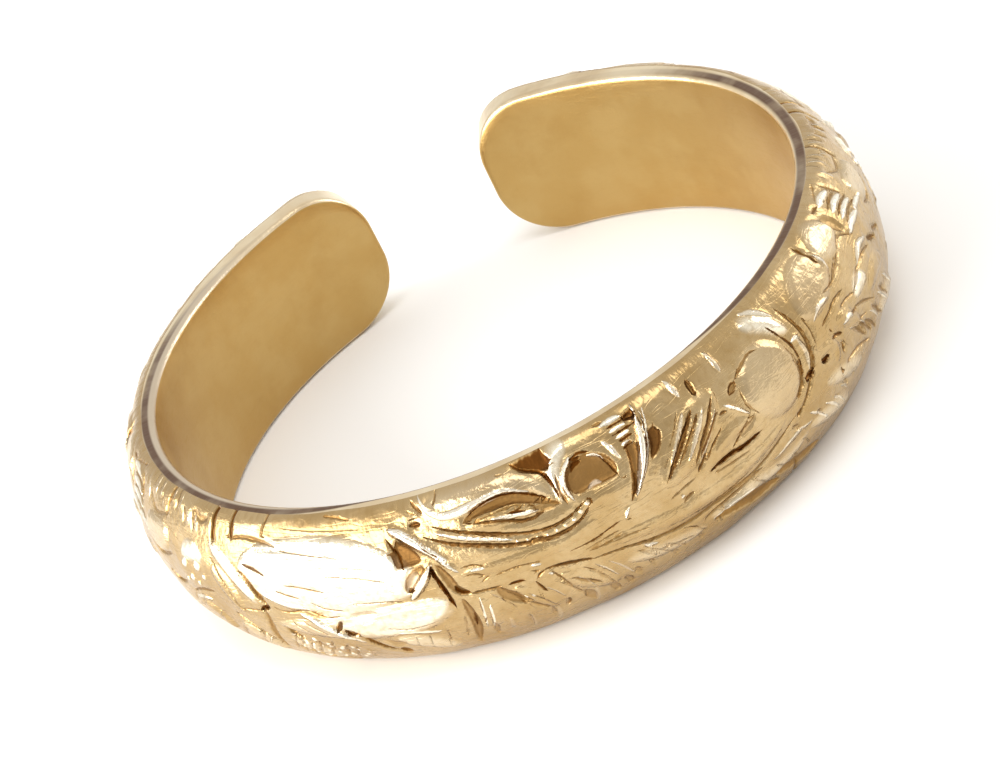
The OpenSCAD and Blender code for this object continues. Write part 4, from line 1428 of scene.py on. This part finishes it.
# paler than the dome's gold: painted light standing in for the light that the side edges catch, with a
# painted shade line along them
RIM = GoldFinish(
    name="dull gold side edges",
    colour=(0.76, 0.6, 0.38),
    pale=(0.86, 0.73, 0.51),
    dark=(0.5, 0.36, 0.19),
    roughness=0.3,
    rough_spread=0.1,
    grain_depth=0.006,
    scratch_density=7.0,
    dent_depth=0.02,
    dent_scale=1.2,
    tarnish_spread=0.45,
    line=PaintedEdgeShade(),
)
SATIN = GoldFinish(
    name="satin inside gold",
    colour=(0.52, 0.34, 0.12),
    pale=(0.55, 0.375, 0.145),
    dark=(0.46, 0.285, 0.09),
    roughness=0.36,
    rough_spread=0.08,
    grain_depth=0.0025,
    scratch_density=7.0,
    dent_depth=0.02,
    dent_scale=0.9,
    tarnish_spread=0.45,
)


@dataclass
class PatternedBand:
    """The whole ring: one open band with its relief, rounded ends and finishes.

    Steps are the distances in from an edge of the rows that lie close together there. The
    columns are closest round the end corners, and thinned out away from the front. Each
    wave of the dome has a height, waves round the ring, a slant and a start.
    """

    sizes: BandSizes = field(default_factory=BandSizes)
    pattern: Pattern = field(default_factory=Pattern)
    columns: int = 950
    corner_columns: int = 30
    front_turn: float = 268.0
    front_spread: float = 62.0
    front_ease: float = 25.0
    back_thinning: float = 0.5
    fine_steps: int = 2000
    straight_len: float = 4.4
    sine_most: float = 0.9
    dome_steps: tuple[float, ...] = (0.0, 0.006, 0.024, 0.054, 0.093, 0.14, 0.19)
    dome_rows_between: int = 65
    wall_shares: tuple[float, ...] = (0.08, 0.5, 0.92)
    mouth_steps: tuple[float, ...] = (0.0, 0.012, 0.044, 0.09, 0.15)
    inside_rows_between: int = 9
    waves: tuple[tuple[float, int, float, float], ...] = (
        (0.010, 11, 1.3, 0.4),
        (0.008, 23, -2.1, 2.0),
        (0.005, 41, 3.7, 4.4),
    )
    weld: float = 1e-4
    cap_inset: float = 0.02
    raise_most: float = 0.2
    cut_most: float = 0.16
    least_weight: float = 0.002
    edge_rows: int = 1
    mouth_rows: int = 4
    band: bpy.types.Object | None = None
    skins: np.ndarray | None = None

    def _rows(self, steps: tuple[float, ...], between: int) -> np.ndarray:
        """Spaces the rows across the band, closer together at both edges.

        Args:
            steps: Distances in from the edge of the close rows.
            between: Rows between the last close row of each edge.

        Returns:
            The rows as shares of half the width, from -1 to 1.
        """
        close = 1 - np.array(steps) / self.sizes.half_w
        middle = np.linspace(-close[-1], close[-1], between + 2)[1:-1]
        return np.concatenate([-close, middle, close[::-1]])

    def _column_distances(self) -> np.ndarray:
        """Spaces the columns along the crown, closer together round the end corners.

        Returns:
            Each column's distance from the first free end, over the crown.
        """
        lean = np.linspace(0, math.pi / 2, self.corner_columns)
        corner = self.sizes.corner_r * (1 - np.cos(lean))
        length = self.sizes.crown_len
        rest = self.columns - 2 * len(corner)
        fine = np.linspace(corner[-1], length - corner[-1], self.fine_steps)
        turn = self.sizes.first_turn + fine / self.sizes.turn_len
        away = np.clip((np.abs(turn - self.front_turn) - self.front_spread) / self.front_ease, 0, 1)
        run = np.cumsum(1 - self.back_thinning * eased(away))
        middle = np.interp(np.linspace(run[0], run[-1], rest + 2), run, fine)[1:-1]
        return np.concatenate([corner, middle, length - corner[::-1]])

    def _turn_at(self, along: np.ndarray, radius: np.ndarray) -> np.ndarray:
        """Gives the turn of points of a column, whose end is cut straight in.

        Args:
            along: Each column's distance from the first free end, over the crown.
            radius: Radius of each point.

        Returns:
            The turn of each point.
        """
        turn_len = self.sizes.turn_len
        turn = self.sizes.first_turn + along / turn_len
        for away, hand in ((along, 1), (self.sizes.crown_len - along, -1)):
            pull = 1 - eased(np.clip((away - self.sizes.corner_r) / self.straight_len, 0, 1))
            straight = np.degrees(np.arcsin(np.clip(away / radius, 0, self.sine_most)))
            turn = turn + hand * pull * (straight - away / turn_len)
        return turn

    def _unevenness(self, turn: np.ndarray, z: np.ndarray) -> np.ndarray:
        """Gives the height of the slow waves that hand work leaves in the dome."""
        t = np.radians(turn)
        return sum(high * np.sin(count * t + slant * z + start) for high, count, slant, start in self.waves)

    def _skin(self) -> tuple[np.ndarray, dict[str, np.ndarray]]:
        """Works out where each vertex of the band lies.

        Returns:
            The places in millimetres by column and point of the section. By name, the
            turn, height and depth inside the outline of the points of the dome, and the
            length and height of every point on the band laid flat.
        """
        s = self.sizes
        along = self._column_distances()[:, None]
        away = np.minimum(along, s.crown_len - along)
        half = s.half_width_at(away)
        turn = s.first_turn + along / s.turn_len
        outer = self._rows(self.dome_steps, self.dome_rows_between)[None, :] * half
        inner = self._rows(self.mouth_steps, self.inside_rows_between)[None, ::-1] * half
        outer_in = s.depth_in(away, outer)
        inner_in = s.depth_in(away, inner)
        dome_r = s.dome_at(turn, outer) - rolled(outer_in, s.rim_soften) + self._unevenness(turn, outer)
        inside_r = s.inside_r + rolled(inner_in, s.mouth_soften)
        shares = np.array(self.wall_shares)[None, :]
        high_r = dome_r[:, -1:] + (inside_r[:, :1] - dome_r[:, -1:]) * shares
        low_r = inside_r[:, -1:] + (dome_r[:, :1] - inside_r[:, -1:]) * shares
        high_z = np.repeat(half, len(self.wall_shares), 1)
        radius = np.hstack([dome_r, high_r, inside_r, low_r])
        z = np.hstack([outer, high_z, inner, -high_z])
        turns = self._turn_at(np.broadcast_to(along, radius.shape), radius)
        lean = np.radians(turns)
        places = np.stack([radius * np.cos(lean), radius * np.sin(lean), z], -1)
        rows = outer.shape[1]
        flat = np.stack([turns * s.turn_len, z + s.half_w], -1)
        return places, {"turn": turns[:, :rows], "height": outer + s.half_w, "depth": outer_in, "flat": flat}

    def build(self) -> None:
        """Models the band: a grid is rolled to shape, capped at both ends and cut."""
        places, laid = self._skin()
        index = self._roll_grid(places)
        self._cap_ends(index)
        self._sort_faces(index, laid["turn"].shape[1])
        self._cut_pattern(index, laid)
        self._lay_flat(index, laid["flat"])

    def _roll_grid(self, places: np.ndarray) -> np.ndarray:
        """Adds a flat grid and rolls it round into the band's closed section.

        Args:
            places: The places in millimetres by column and point of the section.

        Returns:
            The number of the vertex at each column and point.
        """
        columns, points, _ = places.shape
        bpy.ops.object.select_all(action="DESELECT")
        bpy.ops.mesh.primitive_grid_add(x_subdivisions=columns - 1, y_subdivisions=points, size=2)
        self.band = bpy.context.object
        self.band.name = "patterned_band"
        mesh = self.band.data
        mesh.name = "patterned_band"
        now = np.empty(len(mesh.vertices) * 3)
        mesh.vertices.foreach_get("co", now)
        share = (now.reshape(-1, 3)[:, :2] + 1) / 2
        column = np.rint(share[:, 0] * (columns - 1)).astype(int)
        point = np.rint(share[:, 1] * points).astype(int) % points
        mesh.vertices.foreach_set("co", (places[column, point] * MM).ravel())
        mesh.attributes.new("cell", "INT", "POINT").data.foreach_set("value", column * points + point)
        bpy.ops.object.mode_set(mode="EDIT")
        bpy.ops.mesh.select_all(action="SELECT")
        bpy.ops.mesh.remove_doubles(threshold=self.weld * MM)
        bpy.ops.object.mode_set(mode="OBJECT")
        cell = numbers_of(mesh.attributes["cell"].data, "value")
        mesh.attributes.remove(mesh.attributes["cell"])
        if len(cell) != columns * points:
            raise RuntimeError("the rolled grid has other vertices than planned")
        index = np.empty(columns * points, int)
        index[cell] = np.arange(len(cell))
        return index.reshape(columns, points)

    def _select(self, numbers: np.ndarray) -> None:
        """Selects these vertices alone, and leaves edit mode open.

        Args:
            numbers: Numbers of the vertices.
        """
        mesh = self.band.data
        bpy.context.tool_settings.mesh_select_mode = (True, False, False)
        for each in (mesh.vertices, mesh.edges, mesh.polygons):
            each.foreach_set("select", np.zeros(len(each), bool))
        chosen = np.zeros(len(mesh.vertices), bool)
        chosen[numbers] = True
        mesh.vertices.foreach_set("select", chosen)
        bpy.ops.object.mode_set(mode="EDIT")

    def _cap_ends(self, index: np.ndarray) -> None:
        """Closes both free ends with an inset face, and turns all faces outwards.

        Args:
            index: The number of the vertex at each column and point.
        """
        for column in (0, -1):
            self._select(index[column])
            bpy.ops.mesh.edge_face_add()
            bpy.ops.mesh.inset(thickness=self.cap_inset * MM, use_even_offset=False)
            bpy.ops.object.mode_set(mode="OBJECT")
        bpy.ops.object.mode_set(mode="EDIT")
        bpy.ops.mesh.select_all(action="SELECT")
        bpy.ops.mesh.normals_make_consistent(inside=False)
        bpy.ops.object.mode_set(mode="OBJECT")

    def _sort_faces(self, index: np.ndarray, dome_rows: int) -> None:
        """Sorts the faces into dome, side edges and inside by the rows they lie on.

        A face that reaches from the dome to the inside closes an end, and gets the side
        edges' finish.

        Args:
            index: The number of the vertex at each column and point.
            dome_rows: Rows of the dome.
        """
        mesh = self.band.data
        inside_from = dome_rows + len(self.wall_shares)
        inside_rows = 2 * len(self.mouth_steps) + self.inside_rows_between
        skin = np.full(len(mesh.vertices), Skin.EDGE.value)
        skin[index[:, self.edge_rows : dome_rows - self.edge_rows].ravel()] = Skin.DOME.value
        middle = slice(inside_from + self.mouth_rows, inside_from + inside_rows - self.mouth_rows)
        skin[index[:, middle].ravel()] = Skin.INSIDE.value
        found = skin[numbers_of(mesh.loops, "vertex_index")]
        starts = numbers_of(mesh.polygons, "loop_start")
        dome, inside = (
            np.logical_or.reduceat(found == each.value, starts) for each in (Skin.DOME, Skin.INSIDE)
        )
        self.skins = np.where(dome, Skin.DOME.value, np.where(inside, Skin.INSIDE.value, Skin.EDGE.value))
        self.skins[dome & inside] = Skin.EDGE.value

    def _cut_pattern(self, index: np.ndarray, laid: dict[str, np.ndarray]) -> None:
        """Raises the leaves and cuts the lines of the pattern.

        Args:
            index: The number of the vertex at each column and point.
            laid: The turn, height and depth of the points of the dome.
        """
        rows = laid["turn"].shape[1]
        numbers = index[:, :rows].ravel()
        relief = ReliefField(self.sizes, self.pattern, laid["turn"].ravel(), laid["height"].ravel())
        relief.work_out(laid["depth"].ravel())
        for kind, drawn in relief.drawn.items():
            line = np.stack([drawn.side, drawn.half, drawn.rise], 1)
            self._mark(f"{kind.value}_line", numbers, line, (drawn.blank_side, drawn.blank_half, 0.0))
            self._mark(f"{kind.value}_tone", numbers, drawn.tone, 0.0)
            self._mark(f"{kind.value}_inset", numbers, drawn.inset, -relief.outside)
        self._mark("leaf_inset", numbers, relief.leaf_inset, -relief.outside)
        self._mark("leaf_tone", numbers, relief.leaf_tone, 0.0)
        self._push("raised", numbers, relief.raised / self.raise_most, self.raise_most)
        self._push("cut", numbers, relief.cut / self.cut_most, -self.cut_most)
        self.band.vertex_groups.clear()

    def _mark(self, name: str, numbers: np.ndarray, found: np.ndarray, elsewhere: object) -> None:
        """Gives the vertices of the dome a value each, and the others one value.

        Args:
            name: The attribute's name.
            numbers: Numbers of the dome's vertices.
            found: Their values, one or three for each.
            elsewhere: The value of all other vertices.
        """
        mesh = self.band.data
        value = np.tile(np.array(elsewhere, np.float32), (len(mesh.vertices), 1))
        value[numbers] = found.reshape(len(numbers), -1)
        kind, label = ("FLOAT", "value") if found.ndim == 1 else ("FLOAT_VECTOR", "vector")
        mesh.attributes.new(name, kind, "POINT").data.foreach_set(label, value.ravel())

    def _push(self, name: str, numbers: np.ndarray, shares: np.ndarray, most: float) -> None:
        """Pushes the dome's vertices out of the surface, or into it.

        Args:
            name: Name of the vertex group.
            numbers: Numbers of the dome's vertices.
            shares: How far each is pushed, as a share of the most.
            most: The furthest push in millimetres, below zero for inwards.
        """
        group = self.band.vertex_groups.new(name=name)
        weight = np.clip(shares, 0, 1)
        for k in np.flatnonzero(weight > self.least_weight):
            group.add([int(numbers[k])], float(weight[k]), "REPLACE")
        bpy.ops.object.modifier_add(type="DISPLACE")
        step = self.band.modifiers[-1]
        step.direction = "NORMAL"
        step.vertex_group = name
        step.mid_level = 0.0
        step.strength = most * MM
        bpy.ops.object.modifier_apply(modifier=step.name)

    def _lay_flat(self, index: np.ndarray, flat: np.ndarray) -> None:
        """Gives the band a UV map with its length and height in millimetres.

        Args:
            index: The number of the vertex at each column and point.
            flat: Length and height by column and point.
        """
        mesh = self.band.data
        laid = np.zeros((len(mesh.vertices), 2))
        laid[index.ravel()] = flat.reshape(-1, 2)
        for k in np.setdiff1d(np.arange(len(mesh.vertices)), index.ravel()):
            x, y, z = mesh.vertices[k].co / MM
            laid[k] = (math.hypot(x, y), z)
        layer = mesh.uv_layers[0]
        layer.name = "band_flat"
        layer.data.foreach_set("uv", laid[numbers_of(mesh.loops, "vertex_index")].ravel())

    def dress(self, effects: SharedEffects) -> None:
        """Gives each face its finish, and tells the frame what the band is.

        Args:
            effects: The shared node groups.
        """
        mesh = self.band.data
        for finish in (POLISHED, RIM, SATIN):
            mesh.materials.append(finish.make(effects))
        mesh.polygons.foreach_set("material_index", self.skins)
        bpy.ops.object.select_all(action="DESELECT")
        self.band.select_set(True)
        bpy.context.view_layer.objects.active = self.band
        bpy.ops.object.shade_smooth()
        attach(self.band, "root")
        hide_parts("band")


@dataclass(frozen=True)
class SoftLight:
    """A soft box of the studio, in metres, aimed at the origin."""

    name: str
    place: tuple[float, float, float]
    size: tuple[float, float]
    brightness: float

    def hang(self) -> None:
        """Adds the light, turned to what it lights."""
        data = bpy.data.lights.new(self.name, "AREA")
        data.shape = "RECTANGLE"
        data.size, data.size_y = self.size
        data.energy = self.brightness * math.pi * self.size[0] * self.size[1]
        light = bpy.data.objects.new(self.name, data)
        bpy.context.scene.collection.objects.link(light)
        light.location = self.place
        light.rotation_euler = (-Vector(self.place)).to_track_quat("-Z", "Y").to_euler()


@dataclass(frozen=True)
class Studio:
    """Plain pale floor and soft white light.

    The floor's height is in millimetres and its size in metres. The air is darker towards
    one way, from the first value of the span to the last.
    """

    floor_z: float = -2.01
    floor_size: float = 1.6
    floor_colour: Colour = (0.93, 0.925, 0.915)
    floor_rough: float = 0.9
    floor_shine: float = 0.1
    air_colour: Colour = (1.0, 0.99, 0.97)
    dark_way: tuple[float, float, float] = (0, -0.872, 0.489)
    dark_span: Span = (0.74, 0.98)
    dark_level: Span = (0.93, 0.76)
    lights: tuple[SoftLight, ...] = (
        SoftLight("left soft box", (-0.125, -0.035, 0.045), (0.18, 0.1), 5.6),
        SoftLight("overhead soft box", (0.03, -0.05, 0.24), (0.13, 0.13), 2.5),
        SoftLight("right soft box", (0.19, 0.05, 0.08), (0.09, 0.12), 3.0),
    )

    def build(self) -> None:
        """Lays the floor, hangs the lights and sets the air's own light."""
        bpy.ops.object.select_all(action="DESELECT")
        bpy.ops.mesh.primitive_plane_add(size=self.floor_size, location=(0, 0, self.floor_z * MM))
        floor = bpy.context.object
        floor.name = "studio_floor"
        bpy.ops.object.transform_apply(location=True, rotation=True, scale=True)
        material = bpy.data.materials.new("pale paper")
        material.use_nodes = True
        shader = material.node_tree.nodes["Principled BSDF"]
        shader.inputs["Base Color"].default_value = (*self.floor_colour, 1)
        shader.inputs["Roughness"].default_value = self.floor_rough
        shader.inputs["Specular IOR Level"].default_value = self.floor_shine
        floor.data.materials.append(material)
        for light in self.lights:
            light.hang()
        self._air()

    def _air(self) -> None:
        """Makes the white surroundings, darker behind the camera."""
        world = bpy.data.worlds.new("studio air")
        bpy.context.scene.world = world
        world.use_nodes = True
        tree = Tree(world.node_tree)
        tree.tree.nodes.clear()
        way = tree.add("ShaderNodeTexCoord").outputs["Generated"]
        behind = tree.add("ShaderNodeVectorMath", {0: way, 1: self.dark_way}, operation="DOT_PRODUCT")
        level = tree.ranged(behind.outputs["Value"], self.dark_span, self.dark_level)
        air = tree.add("ShaderNodeBackground", {"Color": (*self.air_colour, 1), "Strength": level})
        tree.add("ShaderNodeOutputWorld", {"Surface": air.outputs[0]})


@dataclass(frozen=True)
class PhotoCamera:
    """The camera at the photograph's angle, in degrees and millimetres."""

    elevation: float = 29.306
    roll: float = -26.875
    distance: float = 62.4
    lens: float = 98.08
    sensor: float = 36.0
    aim_down: float = 0.80
    nearest: float = 2.0
    furthest: float = 5000.0

    def place(self) -> None:
        """Adds the camera and makes it the scene's."""
        lift = math.radians(self.elevation)
        back = Vector((0, -math.cos(lift), math.sin(lift)))
        right = Vector((1, 0, 0))
        up = back.cross(right)
        turn = math.radians(self.roll)
        up = -math.sin(turn) * right + math.cos(turn) * up
        place = back * self.distance
        out = (place + up * self.aim_down).normalized()
        side = up.cross(out).normalized()
        top = out.cross(side)
        data = bpy.data.cameras.new("photo camera")
        data.sensor_width = self.sensor
        data.lens = self.lens
        data.clip_start = self.nearest * MM
        data.clip_end = self.furthest * MM
        camera = bpy.data.objects.new("photo camera", data)
        bpy.context.scene.collection.objects.link(camera)
        axes = Matrix((side, top, out)).transposed().to_4x4()
        camera.matrix_world = Matrix.Translation(place * MM) @ axes
        bpy.context.scene.camera = camera


def main() -> None:
    """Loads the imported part, builds the band, the studio and the camera, and reports."""
    logging.basicConfig(level=logging.INFO, format="%(name)s: %(message)s")
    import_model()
    band = PatternedBand()
    band.build()
    band.dress(SharedEffects())
    LOG.info("%s: %d faces", band.band.name, len(band.band.data.polygons))
    studio = Studio()
    studio.build()
    LOG.info("studio: floor and %d lights", len(studio.lights))
    PhotoCamera().place()
    LOG.info("camera placed")
    scene = bpy.context.scene
    scene.view_settings.view_transform = "Standard"
    scene.view_settings.look = "None"


if __name__ == "__main__":
    main()
